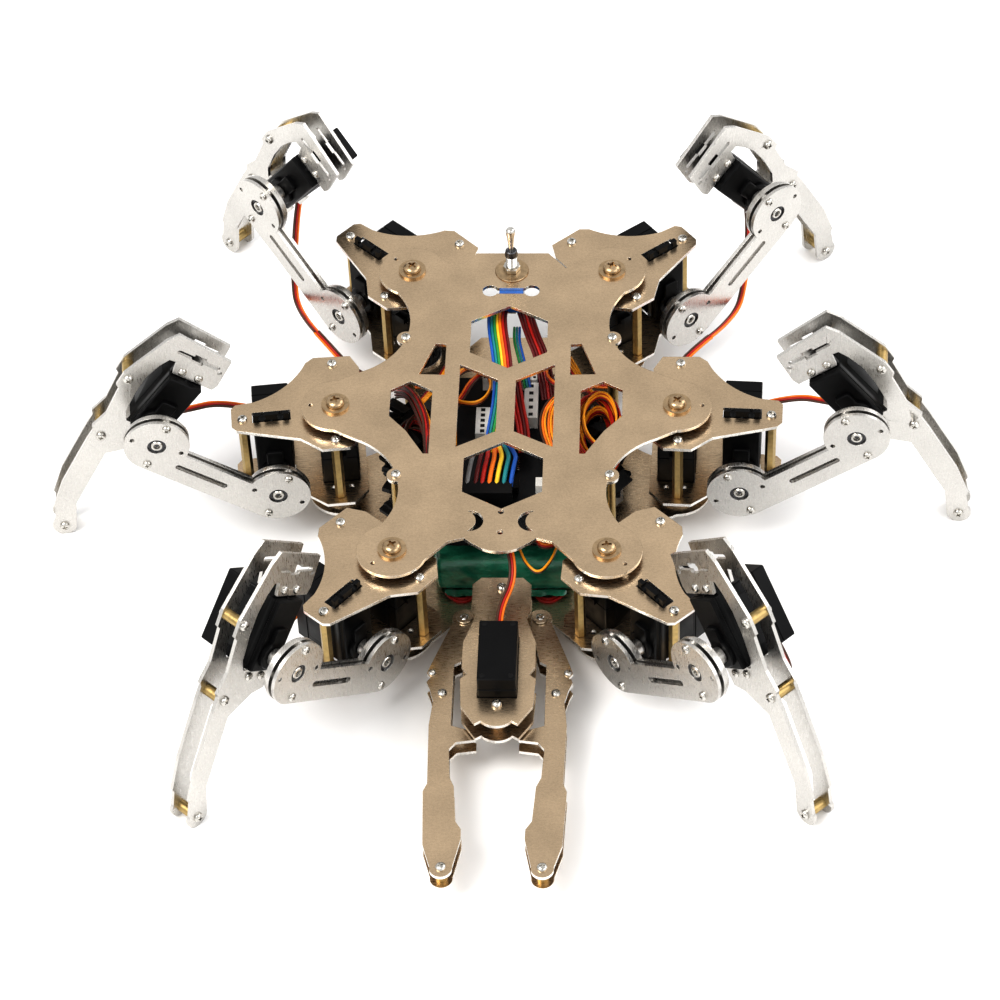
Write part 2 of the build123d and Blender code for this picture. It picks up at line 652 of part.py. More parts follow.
def pin_slot(start, end):
    """The slot that a pin at end slides in, pointing at start."""
    reach = sqrt((end[0] - start[0]) ** 2 + (end[1] - start[1]) ** 2)
    turn = degrees(acos((end[0] - start[0]) / reach)) * (1 if end[1] >= start[1] else -1)
    with BuildSketch() as flat:
        with Locations(end):
            SlotCenterToCenter(2.6, 2 * PIN_RADIUS + 0.9, rotation=turn)
    return flat.sketch


def finger(side):
    """Upper and lower finger plates on spacers, with the arms that keep the pair in step.

    The left finger's upper plate carries a pin on the centre line; the right finger's lower
    plate has a slot for it, and a second slot for the pin of the servo's drive arm.
    """
    posts = ((side * TIP_X, TIP_Y), (side * 29.5, -158.5), (side * 29.5, -200.0))
    pivot = (side * PIVOT_X, PIVOT_Y)
    centre = (0.0, PIVOT_Y)
    with BuildPart() as pair:
        for level in (FINGER_TOP_Z, FINGER_LOW_Z):
            with BuildSketch(Plane.XY.offset(level - PLATE)):
                add(finger_outline(side, 11.0))
                if side == -1 and level == FINGER_TOP_Z:
                    add(arm(pivot, centre))
                if side == 1 and level == FINGER_LOW_Z:
                    add(arm(pivot, centre))
                    add(pin_slot(pivot, centre), mode=Mode.SUBTRACT)
                    add(arm(pivot, DRIVE_PIN))
                    add(pin_slot(pivot, DRIVE_PIN), mode=Mode.SUBTRACT)
                with Locations(pivot):
                    Circle(2.55, mode=Mode.SUBTRACT)
            extrude(amount=PLATE)
        with BuildSketch(Plane.XY.offset(FINGER_LOW_Z)):
            with Locations(*posts):
                Circle(2.8)
        extrude(amount=FINGER_TOP_Z - PLATE - FINGER_LOW_Z)
        if side == -1:
            with BuildSketch(Plane.XY.offset(FINGER_LOW_Z - PLATE - 0.5)):
                with Locations(centre):
                    Circle(PIN_RADIUS)
            extrude(amount=FINGER_TOP_Z - FINGER_LOW_Z + 0.5)
    return pair.part


def drive_arm():
    """Horn on the gripper servo's shaft, with the pin that swings the right finger."""
    hub = (0.0, GRIPPER_Y + SHAFT_TO_CENTRE)
    floor = FINGER_LOW_Z - PLATE - 0.9 - PLATE
    with BuildPart() as horn_arm:
        with BuildSketch(Plane.XY.offset(floor)):
            add(arm(hub, DRIVE_PIN))
            with Locations(hub):
                Circle(8.0)
        extrude(amount=PLATE)
        with BuildSketch(Plane.XY.offset(floor)):
            with Locations(DRIVE_PIN):
                Circle(PIN_RADIUS)
        extrude(amount=FINGER_LOW_Z + 0.3 - floor)
        with BuildSketch(Plane.XY.offset(floor)):
            with Locations(hub):
                Circle(4.6)
        extrude(amount=LOWER_FRAME_Z - PLATE - BOSS_ABOVE - 0.4 - floor)
        with BuildSketch(Plane.XY.offset(floor)):
            with Locations(hub):
                Circle(SHAFT_RADIUS + 0.05)
        extrude(amount=10.0, mode=Mode.SUBTRACT)
    return horn_arm.part


# ---- leads ----------------------------------------------------------------------------

def bend_radii(points):
    """One radius per corner: 0.45 of the shorter run over the tangent of half the turn."""
    radii = []
    for before, here, after in zip(points, points[1:], points[2:]):
        first = Vector(*here) - Vector(*before)
        second = Vector(*after) - Vector(*here)
        turn = radians(first.get_angle(second))
        radii.append(0.45 * min(first.length, second.length) / tan(turn / 2))
    return radii


def lead(points):
    """A servo lead as a plain tube along straight runs and tangent arcs."""
    radii = bend_radii(points)
    with BuildPart() as tube:
        with BuildLine() as route:
            FilletPolyline(*points, radius=radii)
        with BuildSketch(route.line ^ 0):
            Circle(LEAD_DIAMETER / 2)
        sweep()
    length = sum(edge.length for edge in route.edges())
    error = tube.part.volume / (pi * LEAD_DIAMETER ** 2 / 4 * length) - 1
    print("lead", round(length, 1), "radii", [round(r, 1) for r in radii], "volume error", round(error, 4))
    return tube.part


def write_leg(leg):
    """Writes the nodes of one leg."""
    save_leg(coxa_plates(), "coxa_plates", leg)
    save_leg(coxa_servos(), "coxa_servos", leg)
    save_leg(coxa_hardware(), "coxa_hardware", leg)
    save_leg(femur(), "femur", leg)
    save_leg(tibia(), "tibia", leg)
    save_leg(knee_servo(), "knee_servo", leg)
    row = leg[0].split("_")[0]
    save_leg(lead(KNEE_LEADS[row]), "knee_lead", leg)
    if row == "rear":
        save_leg(lead(BODY_LEAD), "body_lead", leg)


for each_leg in LEGS:
    write_leg(each_leg)
save(body_plate(True), "top_plate")
save(body_plate(False), "bottom_plate")
save(body_standoffs(), "body_standoffs")
save(pivot_bushes(), "pivot_bushes")
save(swing_horns(), "swing_horns")
save(toggle_switch(), "toggle_switch")
save(switch_lever(), "switch_lever")
save(controller_board(), "controller_board")
save(battery_pack(), "battery_pack")
save(gripper_frame(), "gripper_frame")
save(gripper_servo(), "gripper_servo")
save(finger(-1), "finger_left")
save(finger(1), "finger_right")
save(drive_arm(), "drive_arm")
save(lead(GRIPPER_LEAD), "gripper_lead")
print("hip", HIP_X, HIP_Z, "knee", KNEE_X, KNEE_Z, "femur angle", FEMUR_ANGLE, "bottom plate", HORN_FACE)
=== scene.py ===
"""Looks of a six-legged walking robot kit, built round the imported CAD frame.

Shapes are written in millimetres in the robot's own layout, where Y is measured from the
middle legs' swing axes, and are placed in the row frame by LAYOUT.
"""

import math
import random

import bmesh
import bpy
from mathutils import Matrix, Vector


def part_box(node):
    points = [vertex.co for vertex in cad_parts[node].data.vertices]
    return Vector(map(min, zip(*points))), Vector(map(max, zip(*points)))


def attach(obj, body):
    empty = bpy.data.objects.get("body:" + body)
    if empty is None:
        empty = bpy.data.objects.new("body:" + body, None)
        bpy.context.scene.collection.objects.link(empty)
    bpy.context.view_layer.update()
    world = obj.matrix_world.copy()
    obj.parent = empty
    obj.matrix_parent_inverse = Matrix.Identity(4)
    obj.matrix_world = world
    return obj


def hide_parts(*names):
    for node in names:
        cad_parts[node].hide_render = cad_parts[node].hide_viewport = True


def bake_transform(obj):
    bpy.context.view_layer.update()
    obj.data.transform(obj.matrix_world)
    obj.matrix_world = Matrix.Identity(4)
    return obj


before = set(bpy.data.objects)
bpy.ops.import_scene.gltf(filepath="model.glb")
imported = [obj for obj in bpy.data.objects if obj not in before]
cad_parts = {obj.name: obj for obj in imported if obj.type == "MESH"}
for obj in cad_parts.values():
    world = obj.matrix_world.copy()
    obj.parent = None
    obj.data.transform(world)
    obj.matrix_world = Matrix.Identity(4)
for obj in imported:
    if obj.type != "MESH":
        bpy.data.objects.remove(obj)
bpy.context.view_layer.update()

MM = 0.001
post_low, post_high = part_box("body_standoffs")
SHIFT_Y = (post_low[1] + post_high[1]) / 2
LAYOUT = Matrix.Translation((0, SHIFT_Y, 0)) @ Matrix.Scale(MM, 4)


# ---- camera -------------------------------------------------------------------------

def make_camera():
    """A long lens in front of the robot, looking down on it and slightly rolled."""
    elevation, azimuth, roll = 0.8203, 0.06555, -0.0460
    distance, focal_share = 1.9972, 3.6147
    back = Vector((math.sin(azimuth) * math.cos(elevation),
                   -math.cos(azimuth) * math.cos(elevation), math.sin(elevation)))
    right = Vector((math.cos(azimuth), math.sin(azimuth), 0))
    up = back.cross(right)
    cam_right = right * math.cos(roll) + up * math.sin(roll)
    cam_up = up * math.cos(roll) - right * math.sin(roll)
    data = bpy.data.cameras.new("camera")
    data.sensor_width = 36.0
    data.lens = 36.0 * focal_share
    data.shift_x, data.shift_y = -0.0104, 0.0041
    data.clip_start, data.clip_end = 0.05, 50.0
    camera = bpy.data.objects.new("camera", data)
    bpy.context.collection.objects.link(camera)
    turn = Matrix((cam_right, cam_up, back)).transposed().to_4x4()
    camera.matrix_world = Matrix.Translation(Vector((0, SHIFT_Y, 0)) + back * distance) @ turn
    bpy.context.scene.camera = camera


make_camera()


# ---- materials ----------------------------------------------------------------------

def new_material(name, color, metallic, roughness):
    """A material, its nodes and links, and its principled shader."""
    material = bpy.data.materials.new(name)
    material.use_nodes = True
    nodes, links = material.node_tree.nodes, material.node_tree.links
    shader = nodes["Principled BSDF"]
    shader.inputs["Base Color"].default_value = (*color, 1)
    shader.inputs["Metallic"].default_value = metallic
    shader.inputs["Roughness"].default_value = roughness
    return material, nodes, links, shader


def noise(nodes, links, scale, stretch=(1, 1, 1), detail=5.0, turn=(0, 0, 0)):
    """A noise in object coordinates, stretched for grain or left even for stains."""
    place = nodes.new("ShaderNodeTexCoord")
    mapping = nodes.new("ShaderNodeMapping")
    mapping.inputs["Scale"].default_value = stretch
    mapping.inputs["Rotation"].default_value = turn
    texture = nodes.new("ShaderNodeTexNoise")
    texture.inputs["Scale"].default_value = scale
    texture.inputs["Detail"].default_value = detail
    links.new(place.outputs["Object"], mapping.inputs["Vector"])
    links.new(mapping.outputs["Vector"], texture.inputs["Vector"])
    return texture.outputs["Fac"]


def spread(nodes, links, source, low, high, start=0.3, end=0.7):
    """Maps a noise to a range of values."""
    node = nodes.new("ShaderNodeMapRange")
    node.inputs["From Min"].default_value = start
    node.inputs["From Max"].default_value = end
    node.inputs["To Min"].default_value = low
    node.inputs["To Max"].default_value = high
    links.new(source, node.inputs["Value"])
    return node.outputs["Result"]


def tint(nodes, links, factor, dark, light, shader):
    """Mixes two colours by a noise into the base colour."""
    node = nodes.new("ShaderNodeMix")
    node.data_type = "RGBA"
    node.inputs["A"].default_value = (*dark, 1)
    node.inputs["B"].default_value = (*light, 1)
    links.new(factor, node.inputs["Factor"])
    links.new(node.outputs["Result"], shader.inputs["Base Color"])


def bump(nodes, links, height, strength, distance, shader, rounded=0.0):
    """Bump from a height, over edges rounded by a shading bevel where rounded is given."""
    node = nodes.new("ShaderNodeBump")
    node.inputs["Strength"].default_value = strength
    node.inputs["Distance"].default_value = distance
    links.new(height, node.inputs["Height"])
    if rounded:
        edge = nodes.new("ShaderNodeBevel")
        edge.samples = 4
        edge.inputs["Radius"].default_value = rounded
        links.new(edge.outputs["Normal"], node.inputs["Normal"])
    links.new(node.outputs["Normal"], shader.inputs["Normal"])


def scaled(color, factor):
    """A colour made darker or lighter."""
    return tuple(min(1.0, c * factor) for c in color)


def paint_edge_highlight(nodes, links, shader, color):
    """Paints a highlight on the faces cut square to a level sheet: a pale colour wherever the face stands
    upright.
    """
    place = nodes.new("ShaderNodeTexCoord")
    axes = nodes.new("ShaderNodeSeparateXYZ")
    upright = nodes.new("ShaderNodeMath")
    upright.operation = "ABSOLUTE"
    surface = shader.inputs["Base Color"].links[0].from_socket
    node = nodes.new("ShaderNodeMix")
    node.data_type = "RGBA"
    node.inputs["A"].default_value = (*color, 1)
    links.new(place.outputs["Normal"], axes.inputs["Vector"])
    links.new(axes.outputs["Z"], upright.inputs[0])
    links.new(spread(nodes, links, upright.outputs["Value"], 0, 1, 0.2, 0.5), node.inputs["Factor"])
    links.new(surface, node.inputs["B"])
    links.new(node.outputs["Result"], shader.inputs["Base Color"])


def brushed(name, color, rough, grain=(1, 14, 1), depth=0.25, stain=0.80, edge_highlight=None):
    """Sheet metal: fine brushing along one way, blotches, a few soft stains, and a painted highlight on
    upright cut faces where a highlight colour is given.
    """
    material, nodes, links, shader = new_material(name, color, 1.0, rough)
    lines = noise(nodes, links, 260, grain, 6)
    specks = noise(nodes, links, 900, (1, 1, 1), 3)
    blotch = noise(nodes, links, 38, (1, 1, 1), 4)
    mixed = nodes.new("ShaderNodeMath")
    mixed.operation = "ADD"
    links.new(spread(nodes, links, blotch, 0.0, 0.62), mixed.inputs[0])
    links.new(spread(nodes, links, specks, 0.0, 0.38, 0.35, 0.65), mixed.inputs[1])
    tint(nodes, links, mixed.outputs["Value"], scaled(color, stain), scaled(color, 1.10), shader)
    # A pale colour painted on the upright cut faces as a highlight.
    if edge_highlight:
        paint_edge_highlight(nodes, links, shader, edge_highlight)
    links.new(spread(nodes, links, lines, rough - 0.09, rough + 0.12), shader.inputs["Roughness"])
    bump(nodes, links, lines, depth, 0.00006, shader, 0.00035)
    return material


def turned_metal(name, color, rough, dirt=0.72):
    """Turned or plated hardware with handling marks."""
    material, nodes, links, shader = new_material(name, color, 1.0, rough)
    marks = noise(nodes, links, 420, (1, 1, 1), 4)
    tint(nodes, links, spread(nodes, links, marks, 0, 1), scaled(color, dirt), color, shader)
    links.new(spread(nodes, links, marks, rough - 0.06, rough + 0.10), shader.inputs["Roughness"])
    bump(nodes, links, noise(nodes, links, 1600), 0.12, 0.00004, shader)
    return material


def plastic(name, color, rough, grain=2600, depth=0.18, coat=0.0, shine=0.5):
    """Moulded or extruded plastic with a fine texture and slightly uneven gloss."""
    material, nodes, links, shader = new_material(name, color, 0.0, rough)
    shader.inputs["Specular IOR Level"].default_value = shine
    shader.inputs["Coat Weight"].default_value = coat
    shader.inputs["Coat Roughness"].default_value = 0.2
    cloud = noise(nodes, links, 90, (1, 1, 1), 4)
    tint(nodes, links, spread(nodes, links, cloud, 0, 1), scaled(color, 0.8), scaled(color, 1.15), shader)
    links.new(spread(nodes, links, cloud, rough - 0.07, rough + 0.10), shader.inputs["Roughness"])
    bump(nodes, links, noise(nodes, links, grain, (1, 1, 1), 2), depth, 0.00008, shader)
    return material


def shrink_film():
    """Green shrink film: glossy, creased, a little uneven."""
    color = (0.010, 0.150, 0.085)
    material, nodes, links, shader = new_material("shrink_film", color, 0.0, 0.22)
    shader.inputs["Coat Weight"].default_value = 0.6
    shader.inputs["Coat Roughness"].default_value = 0.12
    folds = noise(nodes, links, 70, (1, 3.5, 2), 3)
    tint(nodes, links, spread(nodes, links, folds, 0, 1), scaled(color, 0.7), (0.030, 0.290, 0.170), shader)
    links.new(spread(nodes, links, folds, 0.16, 0.34), shader.inputs["Roughness"])
    bump(nodes, links, folds, 0.6, 0.0012, shader)
    return material


# The plates' upright cut faces get a painted highlight colour.
PLATE_METAL = brushed("warm_plate", (0.575, 0.445, 0.305), 0.29, edge_highlight=(0.90, 0.88, 0.84))
LEG_METAL = brushed("leg_plate", (0.57, 0.555, 0.53), 0.30, (14, 1, 1), 0.12, 0.92)
BRASS = turned_metal("brass", (0.52, 0.385, 0.175), 0.34)
BRONZE = turned_metal("washer_brass", (0.50, 0.37, 0.23), 0.30)
NICKEL = turned_metal("nickel", (0.66, 0.64, 0.60), 0.22)
# Dark steel for real dark parts, also used as painted shade in the horn screws' hex sockets.
DARK_STEEL_AND_HEX_SHADE = turned_metal("dark_steel_and_hex_shade", (0.10, 0.10, 0.105), 0.32)
SERVO_BLACK = plastic("servo_case", (0.0025, 0.0025, 0.0028), 0.36, shine=0.16)
BOARD_BLACK = plastic("solder_mask", (0.003, 0.0032, 0.004), 0.4, 1500, 0.1, shine=0.2)
CHIP_BLACK = plastic("chip", (0.004, 0.004, 0.0042), 0.45, shine=0.2)
HEADER_WHITE = plastic("header_white", (0.74, 0.73, 0.69), 0.42)
# Near-black used as painted shade in the header sockets' openings.
HOLE_SHADE_BLACK = plastic("hole", (0.004, 0.004, 0.004), 0.8)
SWITCH_BLUE = plastic("switch_blue", (0.012, 0.10, 0.36), 0.32, 1800, 0.12, 0.3)
FILM = shrink_film()
WIRES = {
    "brown": plastic("wire_brown", (0.075, 0.026, 0.012), 0.45),
    "red": plastic("wire_red", (0.46, 0.012, 0.006), 0.42),
    "orange": plastic("wire_orange", (0.85, 0.20, 0.008), 0.42),
    "yellow": plastic("wire_yellow", (0.85, 0.56, 0.03), 0.42),
    "green": plastic("wire_green", (0.02, 0.27, 0.06), 0.42),
    "teal": plastic("wire_teal", (0.01, 0.22, 0.24), 0.42),
    "blue": plastic("wire_blue", (0.012, 0.10, 0.42), 0.42),
    "violet": plastic("wire_violet", (0.16, 0.05, 0.28), 0.42),
    "grey": plastic("wire_grey", (0.22, 0.22, 0.22), 0.45),
    "white": plastic("wire_white", (0.70, 0.69, 0.66), 0.45),
    "black": plastic("wire_black", (0.004, 0.004, 0.004), 0.45, shine=0.25),
    "maroon": plastic("wire_maroon", (0.13, 0.006, 0.006), 0.42),
    "amber": plastic("wire_amber", (0.90, 0.36, 0.012), 0.40),
}
SERVO_LEAD = [WIRES["brown"], WIRES["red"], WIRES["orange"]]


def dress(node, material):
    """Gives a CAD node its material."""
    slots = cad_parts[node].data.materials
    slots.clear()
    slots.append(material)


# ---- mesh helpers, in millimetres -----------------------------------------------------

class Pile:
    """Collects shapes and makes one object of them."""

    def __init__(self, place=None):
        self.place = place or Matrix.Identity(4)
        self.verts, self.faces, self.slots = [], [], []

    def add(self, shape, place=None, slot=0):
        """Adds a shape, (points, faces), at a place."""
        whole = self.place @ (place or Matrix.Identity(4))
        base = len(self.verts)
        mirrored = whole.determinant() < 0
        self.verts += [whole @ Vector(v) for v in shape[0]]
        for face in shape[1]:
            order = reversed(face) if mirrored else face
            self.faces.append([base + i for i in order])
            self.slots.append(slot)

    def make(self, name, materials, body=None, bevel=0.0, slot=None, angle=38):
        """Makes the object, with eased edges where bevel is given."""
        mesh = bpy.data.meshes.new(name)
        mesh.from_pydata([LAYOUT @ v for v in self.verts], [], self.faces)
        mesh.polygons.foreach_set("material_index", self.slots)
        mesh.polygons.foreach_set("use_smooth", [True] * len(mesh.polygons))
        mesh.set_sharp_from_angle(angle=math.radians(angle))
        for material in materials:
            mesh.materials.append(material)
        mesh.update()
        piece = bpy.data.objects.new(name, mesh)
        bpy.context.collection.objects.link(piece)
        if bevel:
            edge = piece.modifiers.new("edge", "BEVEL")
            edge.width = bevel * MM
            edge.segments = 2
            edge.limit_method = "ANGLE"
            edge.angle_limit = math.radians(50)
            edge.harden_normals = True
        if body:
            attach(piece, body)
        return piece


def at(x, y, z, x_dir=(1, 0, 0), z_dir=(0, 0, 1)):
    """A placing matrix with its origin, X and Z given."""
    z_axis = Vector(z_dir).normalized()
    x_axis = Vector(x_dir).normalized()
    y_axis = z_axis.cross(x_axis)
    turn = Matrix((x_axis, y_axis, z_axis)).transposed().to_4x4()
    return Matrix.Translation((x, y, z)) @ turn


def turned(profile, count=32):
    """A shape turned round Z from (radius, height) pairs that run upwards."""
    points, faces, rings = [], [], []
    for radius, height in profile:
        if radius < 1e-6:
            rings.append([len(points)])
            points.append((0, 0, height))
            continue
        rings.append(list(range(len(points), len(points) + count)))
        for i in range(count):
            a = 2 * math.pi * i / count
            points.append((radius * math.cos(a), radius * math.sin(a), height))
    for low, high in zip(rings, rings[1:]):
        for i in range(count):
            j = (i + 1) % count
            if len(low) == 1:
                faces.append((low[0], high[j], high[i]))
            elif len(high) == 1:
                faces.append((low[i], low[j], high[0]))
            else:
                faces.append((low[i], low[j], high[j], high[i]))
    if len(rings[0]) > 1:
        faces.append(tuple(reversed(rings[0])))
    if len(rings[-1]) > 1:
        faces.append(tuple(rings[-1]))
    return points, faces


def ring(inner, outer, low, high, count=40):
    """A flat washer with a hole."""
    points, faces = [], []
    for radius, height in ((inner, low), (outer, low), (outer, high), (inner, high)):
        for i in range(count):
            a = 2 * math.pi * i / count
            points.append((radius * math.cos(a), radius * math.sin(a), height))
    for band in range(4):
        following = (band + 1) % 4
        for i in range(count):
            j = (i + 1) % count
            faces.append((band * count + i, band * count + j, following * count + j, following * count + i))
    return points, faces


def rounded_outline(x0, x1, y0, y1, radius, steps=4):
    """The points of a rectangle with round corners."""
    points = []
    for cx, cy, start in ((x1 - radius, y1 - radius, 0), (x0 + radius, y1 - radius, 90),
                          (x0 + radius, y0 + radius, 180), (x1 - radius, y0 + radius, 270)):
        for i in range(steps + 1):
            a = math.radians(start + 90 * i / steps)
            points.append((cx + radius * math.cos(a), cy + radius * math.sin(a)))
    return points


def stack(x0, x1, y0, y1, radius, levels):
    """A case of round-cornered sections; levels are (height, inset) pairs going up."""
    points, faces, rings = [], [], []
    for height, inset in levels:
        outline = rounded_outline(x0 + inset, x1 - inset, y0 + inset, y1 - inset, max(0.2, radius - inset))
        rings.append(list(range(len(points), len(points) + len(outline))))
        points += [(x, y, height) for x, y in outline]
    for low, high in zip(rings, rings[1:]):
        for i in range(len(low)):
            j = (i + 1) % len(low)
            faces.append((low[i], low[j], high[j], high[i]))
    faces.append(tuple(reversed(rings[0])))
    faces.append(tuple(rings[-1]))
    return points, faces


def slab(outline, low, high):
    """A flat piece with any outline, counter-clockwise."""
    count = len(outline)
    points = [(x, y, low) for x, y in outline] + [(x, y, high) for x, y in outline]
    faces = [(i, (i + 1) % count, count + (i + 1) % count, count + i) for i in range(count)]
    faces.append(tuple(reversed(range(count))))
    faces.append(tuple(range(count, 2 * count)))
    return points, faces


def block(x0, x1, y0, y1, z0, z1):
    """A plain block; its edges are eased when the object is made."""
    return slab([(x0, y0), (x1, y0), (x1, y1), (x0, y1)], z0, z1)


def spline_points(controls, name, resolution=10):
    """The smooth line of a NURBS spline through control points in row-frame metres."""
    curve = bpy.data.curves.new(name, "CURVE")
    curve.dimensions = "3D"
    curve.resolution_u = resolution
    spline = curve.splines.new("NURBS")
    spline.points.add(len(controls) - 1)
    for point, control in zip(spline.points, controls):
        point.co = (*control, 1)
    spline.order_u = 3
    spline.use_endpoint_u = True
    holder = bpy.data.objects.new(name, curve)
    bpy.context.collection.objects.link(holder)
    bpy.context.view_layer.update()
    mesh = bpy.data.meshes.new_from_object(holder.evaluated_get(bpy.context.evaluated_depsgraph_get()))
    points = [v.co.copy() for v in mesh.vertices]
    bpy.data.objects.remove(holder)
    bpy.data.curves.remove(curve)
    bpy.data.meshes.remove(mesh)
    return points


def strands(points, offsets, radius, flat_dir, sides=8):
    """Round cores that run side by side along a line; one shape for each core."""
    shapes = [([], []) for _ in offsets]
    side = Vector(flat_dir)
    for k, point in enumerate(points):
        ahead = points[min(k + 1, len(points) - 1)] - points[max(k - 1, 0)]
        tangent = ahead.normalized()
        side = (side - tangent * side.dot(tangent)).normalized()
        normal = tangent.cross(side)
        for (verts, faces), offset in zip(shapes, offsets):
            centre = point + side * offset
            base = len(verts)
            for i in range(sides):
                a = 2 * math.pi * i / sides
                verts.append(centre + side * (radius * math.cos(a)) + normal * (radius * math.sin(a)))
            if k:
                for i in range(sides):
                    j = (i + 1) % sides
                    faces.append((base - sides + i, base - sides + j, base + j, base + i))
    for verts, faces in shapes:
        faces.append(tuple(reversed(range(sides))))
        faces.append(tuple(range(len(verts) - sides, len(verts))))
    return shapes


METRES = LAYOUT.inverted()


def lead_mesh(name, controls, materials, radius, pitch, flat_dir, slot="lead"):
    """A flat lead of several cores along control points in metres; returns it and its path."""
    path = spline_points(controls, name + "_line")
    count = len(materials)
    offsets = [(i - (count - 1) / 2) * pitch for i in range(count)]
    pile = Pile(METRES)
    for index, shape in enumerate(strands(path, offsets, radius, flat_dir)):
        pile.add(shape, slot=index)
    return pile.make(name, materials, slot=slot, angle=80), path


def placed_object(name, mesh):
    """A new object made of a mesh."""
    holder = bpy.data.objects.new(name, mesh)
    bpy.context.collection.objects.link(holder)
    return holder


def cut_away(holder, cutter):
    """The holder's mesh less the cutter's shape. The cutter is used up."""
    cut = holder.modifiers.new("cut", "BOOLEAN")
    cut.operation = "DIFFERENCE"
    cut.solver = "EXACT"
    cut.object = cutter
    bpy.context.view_layer.update()
    graph = bpy.context.evaluated_depsgraph_get()
    mesh = bpy.data.meshes.new_from_object(holder.evaluated_get(graph))
    holder.modifiers.clear()
    bpy.data.objects.remove(cutter)
    return mesh


def cross_head_screw():
    """A pan head with a cross recess, 5.5 mm across, standing on Z = 0."""
    dome = [(2.75, 0), (2.75, 0.65), (2.62, 1.1), (2.25, 1.6), (1.6, 1.98), (0.8, 2.13), (0, 2.15)]
    cross = [(1.45, -0.30), (1.45, 0.30), (0.42, 0.42), (0.30, 1.45), (-0.30, 1.45), (-0.42, 0.42),
             (-1.45, 0.30), (-1.45, -0.30), (-0.42, -0.42), (-0.30, -1.45), (0.30, -1.45), (0.42, -0.42)]
    holders = []
    for title, shape in (("head", turned(dome, 24)), ("cutter", slab(cross, 0.9, 3.0))):
        mesh = bpy.data.meshes.new(title)
        mesh.from_pydata(shape[0], [], shape[1])
        holders.append(placed_object(title, mesh))
    mesh = cut_away(*holders)
    shape = ([v.co.copy() for v in mesh.vertices], [tuple(p.vertices) for p in mesh.polygons])
    bpy.data.objects.remove(holders[0])
    return shape


SCREW = cross_head_screw()


def screw(pile, place, size=1.0, height=1.0, turn=0.4, slot=0):
    """A cross-head screw on a surface, turned by its own angle."""
    scale = Matrix.Diagonal((size, size, size * height, 1))
    pile.add(SCREW, place @ Matrix.Rotation(turn, 4, "Z") @ scale, slot)


# ---- the robot's layout, in millimetres -----------------------------------------------

EAR_X, EAR_Y, MID_EAR_X = 55.6, 104.8, 91.8
TOP_Z, BOTTOM_Z = 78.0, 12.0
COXA_TOP, COXA_FLOOR = 72.0, 29.0
HIP_X, HIP_Z = 35.0, 39.4
KNEE_X, KNEE_Z = 96.123, 85.569
FEMUR_ANGLE, TIBIA_ANGLE = math.radians(37.065), math.radians(127.7)
FEMUR_LENGTH = 76.6
COXA_POSTS = ((50.5, -1.0), (1.5, 20.5), (0.0, -37.4))
LEGS = (
    ("front_left", -EAR_X, -EAR_Y, -130.2, 1),
    ("front_right", EAR_X, -EAR_Y, -47.5, -1),
    ("mid_left", -MID_EAR_X, 0.0, -172.8, 1),
    ("mid_right", MID_EAR_X, 0.0, -3.1, -1),
    ("rear_left", -EAR_X, EAR_Y, 138.2, 1),
    ("rear_right", EAR_X, EAR_Y, 38.1, -1),
)


def leg_place(x, y, yaw, side):
    """From the leg's frame to the robot's layout."""
    return (Matrix.Translation((x, y, 0)) @ Matrix.Rotation(math.radians(yaw), 4, "Z")
            @ Matrix.Diagonal((1, side, 1, 1)))


def on_femur(along, across, y, out=1):
    """A place on a femur plate, in the leg's frame; out is the side that Z points to."""
    c, s = math.cos(FEMUR_ANGLE), math.sin(FEMUR_ANGLE)
    return at(HIP_X + along * c - across * s, y, HIP_Z + along * s + across * c, (c, 0, s), (0, out, 0))


def on_tibia(along, across, y, out=1):
    """A place on a tibia plate, in the leg's frame."""
    c, s = math.cos(TIBIA_ANGLE), math.sin(TIBIA_ANGLE)
    return at(KNEE_X + along * c + across * s, y, KNEE_Z + along * s - across * c, (c, 0, s), (0, out, 0))


# ---- servo ----------------------------------------------------------------------------

def flange_outline():
    """A servo flange with four holes that are open to its ends."""
    x0, x1, half = -16.9, 37.1, 9.55
    hole_in, hole_y, radius, slit = 2.25, 5.0, 2.1, 0.9
    right = []
    for y in (-hole_y, hole_y):
        centre = x1 - hole_in
        gap = math.asin(slit / radius)
        right.append((x1, y - slit))
        for i in range(13):
            a = -gap - (2 * math.pi - 2 * gap) * i / 12
            right.append((centre + radius * math.cos(a), y + radius * math.sin(a)))
        right.append((x1, y + slit))
    middle = (x0 + x1) / 2
    left = [(2 * middle - x, -y) for x, y in right]
    return [(x1, -half), *right, (x1, half), (x0, half), *left, (x0, -half)]


